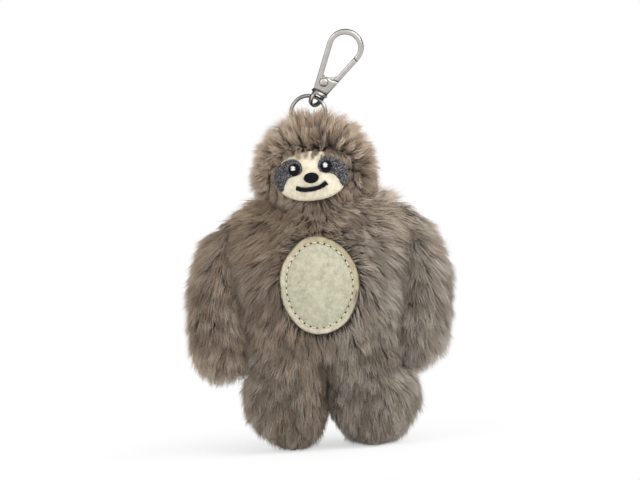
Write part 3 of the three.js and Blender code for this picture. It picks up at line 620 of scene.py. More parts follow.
# %% Make and comb the six pouches
def uneven_leg(rings, sign):
    """Hand sewing made the right leg a little wider than the left, whose foot is rounder outside."""
    x, z = rings[..., 0], rings[..., 2]
    low = smooth(42, 16, z)
    rounder = 3.6 * smooth(17, 3, z) * smooth(9, 22, x) if sign < 0 else 0
    rings[..., 0] = sign * (x - rounder) * (1 + 0.05 * sign * low) - 0.6 * sign * low
    return rings


def uneven_arm(rings, sign):
    """The right arm hangs closer to the body at its end, and the left shoulder slopes more."""
    x, z = rings[..., 0], rings[..., 2]
    outer = smooth(36, 46, x)
    inward = 3.2 * smooth(74, 44, z)
    if sign < 0:
        inward = 0.8 * smooth(74, 60, z) - 2.6 * smooth(52, 38, z) * outer - 3.0 * smooth(77, 86, z) * outer
    rings[..., 0] = sign * np.maximum(x - inward, np.minimum(x, ARM_INNERMOST))
    rings[..., 2] = z + 0.9 * sign * smooth(74, 90, z)
    return rings


ARM_INNERMOST, CLEARANCE = 31.6, 0.4
pouches = {"head": solid_of_rings("head_pouch", head_rings(HEAD_PILE))}
comb_head(pouches["head"])
body_shape = out_of_hips(out_of_head(body_rings(PILE), CLEARANCE - HEAD_PILE), CLEARANCE - PILE)
pouches["torso"] = solid_of_rings("body_pouch", body_shape)
comb_body(pouches["torso"])
for side, sign in SIDES:
    pouches[f"arm_{side}"] = solid_of_rings(f"arm_pouch_{side}", uneven_arm(arm_rings(PILE), sign))
    comb_arm(pouches[f"arm_{side}"], sign)
    pouches[f"leg_{side}"] = solid_of_rings(f"leg_pouch_{side}", uneven_leg(leg_rings(PILE), sign))
    comb_leg(pouches[f"leg_{side}"], sign)
print("pouches:", ", ".join(pouch.name for pouch in pouches.values()))

# %% [markdown]
# ## Fur
# Fur fabric is a brush of fibres that gather into soft tufts. A hair system comes ready-made, but its strands
# are curves that an exported model would lose, so a tree of geometry nodes makes them as meshes.
# It scatters roots over the cloth and, more widely, the middles of tufts. Every hair bends from its root
# towards the tip of its nearest tuft. A hair is one slender cone with three sides, set along a curve.
# Its tone and the place along it go into a UV map, so the colour stays with each hair wherever it is used.
# The same map is written once more as OFBake, the name under which an export bakes a piece's colours.


# %% The hair's way, length and tone in a tree
def chance(tree, seed, low, high, step, kind="FLOAT"):
    """A random value for each point. step sets a draw apart from the others that share its seed."""
    shifted = calc(tree, "MULTIPLY_ADD", seed, 100.0, float(step))
    return put(tree, "FunctionNodeRandomValue", low, high, None, shifted, data_type=kind)


def chance_way(tree, seed, step):
    return chance(tree, seed, (-1, -1, -1), (1, 1, 1), step, "FLOAT_VECTOR")


def lock_noise(tree, get, here, scale, out=0):
    return noise(tree, here, calc(tree, "DIVIDE", scale, get["Lock size"]), 1.0, 0.5, out)


def hair_way(tree, get, here, seed, wildness, step):
    """Combed along the cloth, lifted off it, turned a little with its lock and a little unruly."""
    lift = times(tree, named(tree, "lift"), get["Rise"])
    flat = scaled(tree, named_way(tree, "flow"), calc(tree, "SUBTRACT", 1.0, lift))
    up = scaled(tree, named_way(tree, "out_of_cloth"), lift)
    wild = scaled(tree, chance_way(tree, seed, step), get["Unruliness"], wildness)
    turned = lesser(tree, lock_noise(tree, get, here, 1.0, out=1), (0.5, 0.5, 0.5))
    return normal_of(tree, added(tree, flat, up, wild, scaled(tree, turned, get["Lock turn"])))


def hair_length(tree, get, seed, low, high, step):
    return times(tree, named(tree, "pile"), get["Length"], chance(tree, seed, low, high, step))


def scatter(tree, get, seed, method, step, **inputs):
    node = tree.nodes.new("GeometryNodeDistributePointsOnFaces")
    node.distribute_method = method
    tree.links.new(get["Geometry"], node.inputs["Mesh"])
    for name, value in inputs.items():
        tree.links.new(value, node.inputs[name.replace("_", " ")])
    tree.links.new(calc(tree, "ADD", seed, float(step)), node.inputs["Seed"])
    return kept(tree, node.outputs["Points"], "out_of_cloth", node.outputs["Normal"])


def scatter_apart(tree, get, seed, spacing, crowding, step, **inputs):
    """Points that keep a spacing from one another."""
    density = calc(tree, "DIVIDE", crowding, times(tree, spacing, spacing))
    return scatter(tree, get, seed, "POISSON", step, Distance_Min=spacing, Density_Max=density, **inputs)


# %% Tufts, and the roots that lean to them
TUFT_LENGTHS, HAIR_LENGTHS = (0.78, 1.2), (0.66, 1.1)  # shares of the pile
PULLS, THICKNESSES = (0.35, 1.0), (0.7, 1.25)
BEND_RISE, BEND_REACH = 0.4, 0.24  # shares of the hair's length, off the cloth and towards the tip
TUFT_TONES, LOCK_TONE, TUFT_SHARE, CONTRAST = (0.05, 0.95), 1.5, 0.6, 1.5
GREY_SHELF, WARM_STEP, SHELF_WIDTH = 0.02, 0.5, 0.44  # places across the map of tones
TUFT_CROWDING, TUFT_WILDNESS, HAIR_WILDNESS = 1.2, 1.0, 0.8


def tuft_points(tree, get, here):
    seed = get["Tuft seed"]
    tufts = scatter_apart(tree, get, seed, get["Tuft spacing"], TUFT_CROWDING, 7)
    length = hair_length(tree, get, seed, *TUFT_LENGTHS, 3)
    tip = added(tree, here, scaled(tree, hair_way(tree, get, here, seed, TUFT_WILDNESS, 5), length))
    tufts = kept(tree, tufts, "tuft_tip", tip)
    wide = calc(tree, "SUBTRACT", lock_noise(tree, get, here, 0.6), 0.5)
    tone = calc(tree, "MULTIPLY_ADD", wide, LOCK_TONE, chance(tree, seed, *TUFT_TONES, 9))
    return kept(tree, tufts, "tuft_tone", put(tree, "ShaderNodeClamp", tone))


def hair_tone(tree, seed, tuft_tone):
    """A place in the map of tones: on the grey shelf or the warm one, at the tuft's and the hair's tone."""
    tone = calc(tree, "MULTIPLY_ADD", tuft_tone, TUFT_SHARE, chance(tree, seed, 0.0, 1 - TUFT_SHARE, 17))
    warm = calc(tree, "LESS_THAN", chance(tree, seed, 0.0, 1.0, 19), named(tree, "warmth"))
    shelf = calc(tree, "MULTIPLY_ADD", warm, WARM_STEP, GREY_SHELF)
    shift = calc(tree, "SUBTRACT", named(tree, "pale"), (CONTRAST - 1) / 2)
    tone = put(tree, "ShaderNodeClamp", calc(tree, "MULTIPLY_ADD", tone, CONTRAST, shift))
    return calc(tree, "MULTIPLY_ADD", tone, SHELF_WIDTH, shelf)


def root_points(tree, get, here, tufts):
    seed = get["Seed"]
    density = times(tree, get["Hairs per square metre"], named(tree, "cover"))
    hairs = scatter(tree, get, seed, "RANDOM", 0, Density=density)
    nearest = put(tree, "GeometryNodeSampleNearest", tufts, here, domain="POINT")

    def of_tuft(name, kind):
        value = named(tree, name, kind)
        return put(tree, "GeometryNodeSampleIndex", tufts, value, nearest, data_type=kind, domain="POINT")

    length = hair_length(tree, get, seed, *HAIR_LENGTHS, 11)
    own_tip = added(tree, here, scaled(tree, hair_way(tree, get, here, seed, HAIR_WILDNESS, 13), length))
    pull = times(tree, get["Tuft pull"], chance(tree, seed, *PULLS, 15))
    tip = added(tree, own_tip, scaled(tree, lesser(tree, of_tuft("tuft_tip", "FLOAT_VECTOR"), own_tip), pull))
    rise = scaled(tree, named_way(tree, "out_of_cloth"), length, BEND_RISE)
    bend = added(tree, here, rise, scaled(tree, lesser(tree, tip, here), BEND_REACH))
    tone = hair_tone(tree, seed, of_tuft("tuft_tone", "FLOAT"))
    thick = times(tree, get["Hair width"], chance(tree, seed, *THICKNESSES, 21))
    for name, value in (("root", here), ("bend", bend), ("tip", tip), ("tone", tone), ("thick", thick)):
        hairs = kept(tree, hairs, name, value)
    return hairs


# %% The cone that becomes a hair, and its bending
COMBED_NAMES = ("flow", "lift", "pile", "cover", "warmth", "pale")
HAIR_NAMES = ("root", "bend", "tip", "tone", "thick", "shape", "out_of_cloth", *COMBED_NAMES)
HAIR_SIDES, HAIR_STEPS = 3, 2
FULLNESS, FULLEST_LEFT = 0.4, 0.02  # a hair keeps its thickness longer than a plain cone does
ABOVE_FLOOR = 0.0002  # metres
MAP_SPREAD, MAP_START, MAP_REACH = 0.008, 0.03, 0.94  # round a hair, at its root and from root to tip
MAP_SLANT = 0.6  # keeps the three sides of a hair apart in the map


def copies_on(tree, points, form):
    """A form on every point. Its own points keep in shape where they lie in the form."""
    form = kept(tree, form, "shape", put(tree, "GeometryNodeInputPosition"))
    copies = put(tree, "GeometryNodeInstanceOnPoints", points, None, form)
    return put(tree, "GeometryNodeRealizeInstances", copies)


def bent_place(tree, across, aside, along):
    """The straight cone's points, moved to a curve from the root by the bend to the tip."""
    left = calc(tree, "SUBTRACT", 1.0, along)
    root, bend, tip = (named_way(tree, name) for name in ("root", "bend", "tip"))
    near, far = scaled(tree, root, left, left), scaled(tree, tip, along, along)
    curve = added(tree, near, far, scaled(tree, bend, left, along, 2.0))
    way = lesser(tree, tip, root)
    first = normal_of(tree, cross(tree, way, named_way(tree, "out_of_cloth")))
    second = normal_of(tree, cross(tree, first, way))
    fuller = calc(tree, "POWER", calc(tree, "MAXIMUM", left, FULLEST_LEFT), -FULLNESS)
    half = times(tree, named(tree, "thick"), 0.5, fuller)
    offset = added(tree, scaled(tree, first, across, half), scaled(tree, second, aside, half))
    return added(tree, curve, offset)


def fur_tree():
    tree, get = growing_tree(
        "fur", Hairs_per_square_metre=4.0e6, Hair_width=0.00026, Length=1.0, Rise=1.0, Tuft_spacing=0.0021,
        Tuft_pull=0.52, Lock_size=0.008, Lock_turn=0.95, Unruliness=0.24, Tuft_seed=1, Seed=1,
    )
    here = put(tree, "GeometryNodeInputPosition")
    roots = root_points(tree, get, here, tuft_points(tree, get, here))
    cone = put(tree, "GeometryNodeMeshCone", HAIR_SIDES, HAIR_STEPS, None, 0.0, 1.0, 1.0)
    hairs = copies_on(tree, roots, cone)
    across, aside, along = apart(tree, named_way(tree, "shape"))
    x, y, z = apart(tree, bent_place(tree, across, aside, along))
    place = put(tree, "ShaderNodeCombineXYZ", x, y, calc(tree, "MAXIMUM", z, ABOVE_FLOOR))
    hairs = put(tree, "GeometryNodeSetPosition", hairs, None, place)
    sideways = calc(tree, "MULTIPLY_ADD", aside, MAP_SLANT, across)
    map_u = calc(tree, "MULTIPLY_ADD", sideways, MAP_SPREAD, named(tree, "tone"))
    map_v = calc(tree, "MULTIPLY_ADD", along, MAP_REACH, MAP_START)
    strand = put(tree, "ShaderNodeCombineXYZ", map_u, map_v, 0.0)
    for name in ("OFBake", "strand"):
        hairs = kept(tree, hairs, name, strand, "FLOAT2", "CORNER")
    return finish_tree(tree, without(tree, hairs, HAIR_NAMES), get["Material"])


FUR_TREE = fur_tree()
print("fur tree:", len(FUR_TREE.nodes), "nodes")

# %% [markdown]
# ## Colour of the fur
# Each hair is dark at its root, where little light comes, and paler at its tip. The map's sideways coordinate
# holds two shelves of tones: greyer hair in the lower half and warmer hair in the upper, as two dyes that are
# blended in one fabric.


# %% Materials that share a start
def new_material(name, roughness, **constants):
    made = bpy.data.materials.new(name)
    made.use_nodes = True
    shader = made.node_tree.nodes["Principled BSDF"]
    shader.inputs["Roughness"].default_value = roughness
    for key, value in constants.items():
        shader.inputs[key.replace("_", " ")].default_value = value
    return made, made.node_tree, shader


def ramp_of(tree, factor, *stops):
    node = tree.nodes.new("ShaderNodeValToRGB")
    while len(node.color_ramp.elements) < len(stops):
        node.color_ramp.elements.new(0.5)
    for element, (place, colour) in zip(node.color_ramp.elements, stops):
        element.position = place
        element.color = (*colour, 1)
    tree.links.new(factor, node.inputs[0])
    return node.outputs[0]


def dyed(tree, shader, factor, *stops):
    """A ramp of colours, set as the surface's own colour."""
    colour = ramp_of(tree, factor, *stops)
    tree.links.new(colour, shader.inputs["Base Color"])
    return colour


def mixed(tree, blend, factor, a, b):
    return put(tree, "ShaderNodeMix", factor, a, b, data_type="RGBA", blend_type=blend)


def own_place(tree):
    return tree.nodes.new("ShaderNodeTexCoord").outputs["Object"]


def effect(name, values_of, **usual):
    """A shader group that several materials share. values_of makes its values of a place and its inputs."""
    inputs = [(key.replace("_", " "), "Float", value) for key, value in usual.items()]
    tree, get = new_tree(name, [("Place", "Vector", None), *inputs], "ShaderNodeTree")
    values = values_of(tree, get)
    for label in values:
        tree.interface.new_socket(label, in_out="OUTPUT", socket_type="NodeSocketFloat")
    end = tree.nodes.new("NodeGroupOutput")
    for label, value in values.items():
        tree.links.new(value, end.inputs[label])
    return tree


def placed(tree, group, **values):
    """An effect set into a material, with this finish's values. It hands back its outputs by name."""
    node = tree.nodes.new("ShaderNodeGroup")
    node.node_tree = group
    tree.links.new(own_place(tree), node.inputs["Place"])
    for key, value in values.items():
        node.inputs[key.replace("_", " ")].default_value = value
    return node.outputs


def bumped(tree, shader, height, strength, distance):
    bump = put(tree, "ShaderNodeBump", strength, distance)
    tree.links.new(height, bump.node.inputs["Height"])
    tree.links.new(bump, shader.inputs["Normal"])
    return bump.node


def fur_material():
    made, tree, shader = new_material("taupe_fur", 0.62, Specular_IOR_Level=0.22, Sheen_Weight=0.1)
    shelf_place, along_hair, _ = apart(tree, put(tree, "ShaderNodeUVMap", uv_map="strand"))
    tones = ramp_of(
        tree, shelf_place,
        (0.0, (0.25, 0.208, 0.17)), (0.24, (0.405, 0.352, 0.3)), (0.48, (0.59, 0.535, 0.475)),
        (0.51, (0.28, 0.2, 0.138)), (0.75, (0.45, 0.34, 0.248)), (1.0, (0.65, 0.52, 0.405)),
    )
    shade = ramp_of(
        tree, along_hair, (0.0, (0.25, 0.22, 0.195)), (0.5, (0.78, 0.77, 0.75)), (1.0, (1.38, 1.36, 1.31))
    )
    tree.links.new(mixed(tree, "MULTIPLY", 1.0, tones, shade), shader.inputs["Base Color"])
    return made


FUR = fur_material()

# %% [markdown]
# ## Growing it
# Long coats give the outline and the tufts, and a short coat under them fills the gaps between their roots.
# A large pouch has its long hair in two or three coats, so that no piece grows past 200,000 triangles.

# %% Grow the coats
LONG_HAIRS, SHORT_HAIRS = 5.9e6, 2.0e6  # on a square metre
SHORT_LENGTH, SHORT_RISE = 0.6, 1.25
LONG_COATS = {"head": 2, "torso": 3, "arm_left": 2, "arm_right": 2, "leg_left": 2, "leg_right": 2}
HEAD_TUFTS = {"Tuft_spacing": 0.0019, "Tuft_pull": 0.68}  # finer and more pointed than the body's


def coat(body, name, seed, hairs, **values):
    if body == "head":
        values.update(HEAD_TUFTS)
    values.update(Seed=seed, Material=FUR, Hairs_per_square_metre=hairs)
    made = grown(pouches[body], FUR_TREE, name, **values)
    wear(made, body, "fur")


for body, count in LONG_COATS.items():
    for layer in range(count):
        coat(body, f"{body}_fur_{layer + 1}", 1 + layer, LONG_HAIRS / count)
    coat(body, f"{body}_underfur", 9, SHORT_HAIRS, Length=SHORT_LENGTH, Rise=SHORT_RISE)

# %% [markdown]
# ## Backing cloth
# The knitted cloth only shows between the hairs. It is painted with the shade of deep fur, a dark brown
# mottled at the scale of a tuft, so that a gap in the fur reads as painted shade and never as a hole.


# %% Backing cloth
def shaded_cloth_material():
    made, tree, shader = new_material("backing_cloth", 0.95)
    # Painted shade: a dark brown mottle that stands for the shade deep among the hairs.
    shade_mottle = noise(tree, own_place(tree), 900.0, 3.0, 0.6)
    dyed(tree, shader, shade_mottle, (0.35, (0.07, 0.05, 0.036)), (0.65, (0.17, 0.13, 0.1)))
    return made


SHADED_CLOTH = shaded_cloth_material()
for body, pouch in pouches.items():
    limb, *side = body.split("_")
    skin, stuffing = ("_".join([limb, part, *side]) for part in ("skin", "stuffing"))
    wear(pouch, body, "fur", skin, stuffing, material=SHADED_CLOTH)

# %% [markdown]
# ## Felt
# The face and the belly are felt: matted wool with no weave, cut with scissors, so its edge is soft and
# round. Each patch is filled with small triangles inside its outline, laid on the pouch's curve and given a
# back. The outline's corner points are joined by a smooth curve, and the height falls off round the edge.


# %% Outlines in the front view
def bend_through(a, b, c, d, t):
    """The share t of the way from b to c, on a smooth curve that comes from a and goes on to d."""
    return 0.5 * (2 * b + (c - a) * t + (2 * a - 5 * b + 4 * c - d) * t**2 + (3 * b - a - 3 * c + d) * t**3)


def smooth_outline(points, steps=10):
    """A closed smooth line through points."""
    p = np.array(points, float)
    t = np.arange(steps)[:, None, None] / steps
    curve = bend_through(np.roll(p, 1, 0), p, np.roll(p, -1, 0), np.roll(p, -2, 0), t)
    return curve.transpose(1, 0, 2).reshape(-1, 2)


def open_curve(points, steps=12):
    """A smooth line through points, from the first to the last."""
    p = np.vstack([2 * points[0] - points[1], points, 2 * points[-1] - points[-2]])
    shares = np.linspace(0, 1, steps, endpoint=False)
    line = [bend_through(*around, t) for around in zip(p, p[1:], p[2:], p[3:]) for t in shares]
    return np.array([*line, points[-1]])


def spaced(points, gap):
    """Points at even steps along a closed line."""
    line = np.vstack([points, points[:1]])
    length = np.concatenate([[0], np.cumsum(np.linalg.norm(np.diff(line, axis=0), axis=1))])
    at = np.linspace(0, length[-1], max(int(round(length[-1] / gap)), 3) + 1)[:-1]
    return np.stack([np.interp(at, length, values) for values in line.T], 1)


def oval(half_x, half_z, count=96):
    return np.stack([half_x * np.cos(turns(count)), half_z * np.sin(turns(count))], 1)


def to_line(points, line):
    """Each point's distance from a closed line."""
    a, b = line, np.roll(line, -1, 0)
    way = (b - a)[None]
    share = np.clip(((points[:, None] - a[None]) * way).sum(2) / np.maximum((way**2).sum(2), 1e-12), 0, 1)
    return np.linalg.norm(points[:, None] - a[None] - share[..., None] * way, axis=2).min(1)


def inside(points, line):
    a, b = line[None], np.roll(line, -1, 0)[None]
    px, pz = points[:, None, 0], points[:, None, 1]
    crosses = (a[..., 1] > pz) != (b[..., 1] > pz)
    with np.errstate(divide="ignore", invalid="ignore"):
        at = a[..., 0] + (pz - a[..., 1]) * (b[..., 0] - a[..., 0]) / (b[..., 1] - a[..., 1])
    return (crosses & (px < at)).sum(1) % 2 == 1


# %% The curved fronts that patches lie on
FRONT_POWER, FRONT_LEAST = 2.4, 0.02


def head_front(x, z, inset):
    half_x, half_y, half_z = (half - inset for half in HEAD_HALF)
    left = 1 - ((x - HEAD_CENTRE[0]) / half_x) ** 2 - ((z - HEAD_CENTRE[2]) / half_z) ** 2
    return HEAD_CENTRE[1] - half_y * np.sqrt(np.maximum(left, FRONT_LEAST))


def body_front(x, z, inset):
    share = (z - BODY_LOW) / (BODY_HIGH - BODY_LOW)
    left = 1 - (np.abs(x) / (BODY_HALF[0] * body_width(share) - inset)) ** FRONT_POWER
    return -(BODY_HALF[1] * body_depth(share) - inset) * np.maximum(left, FRONT_LEAST) ** (1 / FRONT_POWER)


def laid_on(front_of, flat, depth):
    """Points of the front view, laid on a curved front at a depth below the tips of the fur."""
    x, z = flat.T
    return np.stack([x, front_of(x, z, depth), z], 1)


# %% A patch with a rounded edge
EDGE_HEIGHT = 0.35  # share of a patch's thickness that its edge has
EDGE_ROOM = 0.45  # share of the gap that stays free between the edge and the points inside it


def patch(name, outline, front_of, back, front, roll, gap=0.45, relief=None):
    """back and front are depths below the tips of the fur, and roll is how far the edge's round reaches."""
    edge = spaced(outline, gap)
    low, high = edge.min(0), edge.max(0)
    columns, rows = (np.arange(start, end, gap) for start, end in zip(low, high))
    grid = np.stack(np.meshgrid(columns, rows), -1).reshape(-1, 2)
    grid = grid[inside(grid, edge)]
    grid = grid[to_line(grid, edge) > EDGE_ROOM * gap]
    corners = [Vector(point) for point in np.vstack([edge, grid])]
    found = delaunay_2d_cdt(corners, [], [list(range(len(edge)))], 1, 1e-5)
    flat, triangles = np.array([tuple(point) for point in found[0]]), [list(face) for face in found[2]]
    away = to_line(flat, edge)
    round_off = np.sqrt(1 - (1 - np.clip(away / roll, 0, 1)) ** 2)
    depth = back + (front - back) * (EDGE_HEIGHT + (1 - EDGE_HEIGHT) * round_off)
    if relief:
        depth = depth - relief(flat, away)
    points = np.vstack([laid_on(front_of, flat, depth), laid_on(front_of, flat, back)])
    count, rim = len(flat), len(edge)
    faces = triangles + [[count + i for i in reversed(face)] for face in triangles]
    faces += [[i, (i + 1) % rim, count + (i + 1) % rim, count + i] for i in range(rim)]
    made = solid_from(name, points, faces, sharp=50)
    write(made, "is_front", np.arange(2 * count) < count)
    print(f"{name}: {len(faces)} faces")
    return made


# %% [markdown]
# Felt is fibres lying every way. Two scales make it: a fine noise whose coordinates are bent by another
# noise, so that it looks combed into short fibres, and slow mottling where the wool is thinner.


# %% Felt
def felt_values(tree, get):
    stirred = noise(tree, get["Place"], 260.0, 2.0, 0.5, out=1)
    bent = added(tree, get["Place"], scaled(tree, stirred, 0.006))
    drawn = put(tree, "ShaderNodeMapping", bent, None, None, (1.0, 1.0, 0.35))
    fibres = noise(tree, drawn, get["Fibre scale"], 3.0, 0.6)
    mottle = noise(tree, get["Place"], get["Mottle scale"], 3.0, 0.6)
    tone = calc(tree, "MULTIPLY_ADD", mottle, 0.55, times(tree, fibres, 0.45))
    return {"Tone": tone, "Height": fibres, "Mottle": mottle}


FELT_FIBRES = effect("felt_fibres", felt_values, Fibre_scale=2600.0, Mottle_scale=420.0)


def felt_material(name, dark, light, **scales):
    made, tree, shader = new_material(
        name, 0.93, Specular_IOR_Level=0.12, Sheen_Weight=0.25, Sheen_Roughness=0.6
    )
    felt = placed(tree, FELT_FIBRES, **scales)
    tone = dyed(tree, shader, felt["Tone"], (0.36, dark), (0.6, light))
    bumped(tree, shader, felt["Height"], 0.55, 0.00012)
    return made, tree, shader, felt, tone


CREAM_FELT = felt_material("cream_felt", (0.57, 0.51, 0.38), (0.8, 0.73, 0.575))[0]


def belly_material():
    """The same felt, dyed greyer, with patches of a greener dye and a paler rim outside the stitches, which
    has painted shade of the fur at its top and right.
    """
    made, tree, shader, felt, tone = felt_material(
        "belly_felt", (0.345, 0.318, 0.23), (0.52, 0.485, 0.37), Mottle_scale=460.0
    )
    place = own_place(tree)
    drift = put(tree, "ShaderNodeMapRange", noise(tree, place, 60.0, 2.0, 0.6), 0.35, 0.65)
    tone = mixed(tree, "MULTIPLY", drift, tone, (0.94, 1.0, 0.98, 1))
    middle = (BELLY_CENTRE[0] * MM, 0.0, BELLY_CENTRE[1] * MM)
    spread = (1 / MM / BELLY_HALF[0], 0.0, 1 / MM / BELLY_HALF[1])
    from_middle = vector(tree, "MULTIPLY", lesser(tree, place, middle), spread)
    out = calc(tree, "MULTIPLY_ADD", felt["Mottle"], 0.08, vector(tree, "LENGTH", from_middle))
    rim = put(tree, "ShaderNodeMapRange", out, 0.85, 0.91)
    x, _, z = apart(tree, from_middle)
    # The rim's colour holds painted shade: darker and browner at its top and right, under the overhanging
    # fur, and paler towards its lower left.
    below = put(tree, "ShaderNodeMapRange", calc(tree, "MULTIPLY_ADD", x, 0.6, z), 0.8, -0.7)
    rim_paleness_and_shade = mixed(tree, "MIX", below, (0.95, 0.86, 0.74, 1), (1.3, 1.24, 1.27, 1))
    paler = mixed(tree, "MULTIPLY", 1.0, tone, rim_paleness_and_shade)
    tree.links.new(mixed(tree, "MIX", rim, tone, paler), shader.inputs["Base Color"])
    return made


BELLY_FELT = belly_material()

# %% The felt face
FACE_TILT = math.radians(2.2)
FACE_SIZE = np.array([14.6, 9.8])
FACE_MIDDLE = np.array([-0.6, 108.4])
FACE_SIDE = np.array([
    (0, -1), (0.39, -0.95), (0.68, -0.78), (0.87, -0.51), (0.97, -0.18), (1, 0.08), (0.94, 0.38),
    (0.77, 0.66), (0.51, 0.87), (0, 1),
])


def on_face(points):
    """Turn points of the face by its tilt and place them."""
    c, s = math.cos(FACE_TILT), math.sin(FACE_TILT)
    p = np.asarray(points, float)
    return np.stack([p[:, 0] * c - p[:, 1] * s, p[:, 0] * s + p[:, 1] * c], 1) + FACE_MIDDLE


face_corners = np.vstack([FACE_SIDE, (FACE_SIDE * [-1, 1])[-2:0:-1]]) * FACE_SIZE + [0, 0.8]
face_outline = on_face(smooth_outline(face_corners))
face_felt = patch("face_felt", face_outline, head_front, back=6.4, front=4.4, roll=0.8)
wear(face_felt, "head", "cream_felt", "face_patch", material=CREAM_FELT)

# %% [markdown]
# ## Embroidery
# The face is drawn with thread by a machine. Satin stitch lays short threads side by side until they cover
# the felt. The eye patches are filled with threads in crossing directions, which gives them their speckle.
# A padded form carries the threads, and a node tree lays them: it scatters points over the padding at the
# thread's own spacing, and each becomes a short rounded thread that lies on the surface.


# %% A thread, laid along a way on a surface
THREAD_SIDES, THREAD_STEPS = 5, 4
THREAD_END = 0.3  # share of its width that a thread still has at its ends
SATIN_LENGTHS, STITCH_LENGTHS = (0.6, 1.4), (0.85, 1.12)
SATIN_ARCH, SATIN_CROWDING, STITCH_CROSSING = 0.4, 1.3, 0.06


def laid_threads(tree, points, get, way, up, length, arch, names):
    here = put(tree, "GeometryNodeInputPosition")
    for name, value in (("spot", here), ("way", way), ("up", up), ("long", length)):
        points = kept(tree, points, name, value)
    thread = put(tree, "GeometryNodeMeshCylinder", THREAD_SIDES, THREAD_STEPS, None, 1.0, 2.0)
    threads = copies_on(tree, points, thread)
    across, aside, along = apart(tree, named_way(tree, "shape"))
    square = times(tree, along, along)
    taper = calc(tree, "SQRT", calc(tree, "SUBTRACT", 1.0, times(tree, square, square)))
    half = times(tree, get["Thread width"], 0.5, calc(tree, "MAXIMUM", taper, THREAD_END))
    way, up, spot = (named_way(tree, name) for name in ("way", "up", "spot"))
    side = normal_of(tree, cross(tree, way, up))
    lift = times(tree, calc(tree, "SUBTRACT", 1.0, square), arch)
    height = calc(tree, "MULTIPLY_ADD", aside, half, lift)
    reach = scaled(tree, way, along, named(tree, "long"), 0.5)
    place = added(tree, spot, reach, scaled(tree, side, across, half), scaled(tree, up, height))
    threads = put(tree, "GeometryNodeSetPosition", threads, None, place)
    threads = without(tree, threads, ("spot", "way", "up", "long", "shape", *names))
    return finish_tree(tree, threads, get["Material"])


# %% Node tree: threads that fill a padded form
def satin_tree():
    tree, get = growing_tree(
        "satin_fill", Spacing=0.00032, Thread_length=0.0016, Thread_width=0.00034, Direction=(0, 0, 1),
        Crossing=0.08, Seed=1,
    )
    seed = get["Seed"]
    front = named(tree, "is_front")
    points = scatter_apart(tree, get, seed, get["Spacing"], SATIN_CROWDING, 3, Density_Factor=front)
    up = named_way(tree, "out_of_cloth")
    way = added(tree, get["Direction"], scaled(tree, chance_way(tree, seed, 5), get["Crossing"]))
    flat = normal_of(tree, cross(tree, up, cross(tree, way, up)))
    length = times(tree, get["Thread length"], chance(tree, seed, *SATIN_LENGTHS, 7))
    arch = times(tree, get["Thread width"], SATIN_ARCH)
    return laid_threads(tree, points, get, flat, up, length, arch, ("out_of_cloth", "is_front"))


SATIN_TREE = satin_tree()


# %% Node tree: stitches that follow a line
def line_tree():
    tree, get = growing_tree(
        "stitched_line", Spacing=0.0003, Thread_length=0.0012, Thread_width=0.00034, Crosswise=0.0,
        Arch=0.0001, Seed=1,
    )
    seed = get["Seed"]
    line = put(tree, "GeometryNodeMeshToCurve", get["Geometry"])
    line = put(tree, "GeometryNodeResampleCurve", line, None, get["Spacing"], mode="LENGTH")
    node = tree.nodes.new("GeometryNodeCurveToPoints")
    node.mode = "EVALUATED"
    tree.links.new(line, node.inputs[0])
    points = kept(tree, node.outputs["Points"], "ahead", node.outputs["Tangent"])
    ahead, up = named_way(tree, "ahead"), normal_of(tree, named_way(tree, "outward"))
    along_part = scaled(tree, ahead, calc(tree, "SUBTRACT", 1.0, get["Crosswise"]))
    across_part = scaled(tree, cross(tree, ahead, up), get["Crosswise"])
    wild = scaled(tree, chance_way(tree, seed, 5), STITCH_CROSSING)
    way = normal_of(tree, added(tree, along_part, across_part, wild))
    length = times(tree, get["Thread length"], chance(tree, seed, *STITCH_LENGTHS, 7))
    return laid_threads(tree, points, get, way, up, length, get["Arch"], ("ahead", "outward"))


LINE_TREE = line_tree()
print("satin tree:", len(SATIN_TREE.nodes), "nodes; line tree:", len(LINE_TREE.nodes), "nodes")

# %% [markdown]
# Embroidery thread is a shiny twisted filament. Fine stripes across its length stand for the twist, and the
# tone wanders a little from thread to thread because a noise is read where each one lies.


# %% Thread
def thread_values(tree, get):
    twist = put(
        tree, "ShaderNodeTexWave", get["Place"], get["Twist scale"], 1.5, 1.0,
        out=1, wave_type="BANDS", bands_direction="DIAGONAL",
    )
    return {"Tone": noise(tree, get["Place"], get["Speckle scale"], 2.0, 0.7), "Height": twist}


THREAD_TWIST = effect("thread_twist", thread_values, Speckle_scale=2400.0, Twist_scale=5200.0)


def thread_material(name, dark, light, roughness=0.5, shine=0.3, stops=(0.44, 0.58), **scales):
    made, tree, shader = new_material(name, roughness, Specular_IOR_Level=shine)
    thread = placed(tree, THREAD_TWIST, **scales)
    dyed(tree, shader, thread["Tone"], (stops[0], dark), (stops[1], light))
    bumped(tree, shader, thread["Height"], 0.35, 0.00005)
    return made


GREY_THREAD = thread_material(
    "grey_thread", (0.012, 0.012, 0.014), (0.3, 0.3, 0.305), stops=(0.46, 0.64), Speckle_scale=1800.0
)
BLACK_THREAD = thread_material("black_thread", (0.003, 0.003, 0.005), (0.009, 0.009, 0.013), 0.6, 0.15)
WHITE_THREAD = thread_material("white_thread", (0.72, 0.72, 0.72), (0.9, 0.9, 0.89))
CREAM_THREAD = thread_material("cream_thread", (0.66, 0.62, 0.49), (0.86, 0.82, 0.68))


def embroider(name, node, outline, material, slot, back, front, roll, pad_size=0.9, **values):
    """Thread over a pad, which is a little smaller than the area that the thread covers."""
    middle = outline.mean(0)
    pad_outline = on_face(middle + (outline - middle) * pad_size)
    pad = patch(f"{name}_pad", pad_outline, head_front, back, front, roll, gap=0.35)
    wear(pad, "head", slot, node, material=material)
    threads = grown(pad, SATIN_TREE, name, Material=material, **values)
    wear(threads, "head", slot)


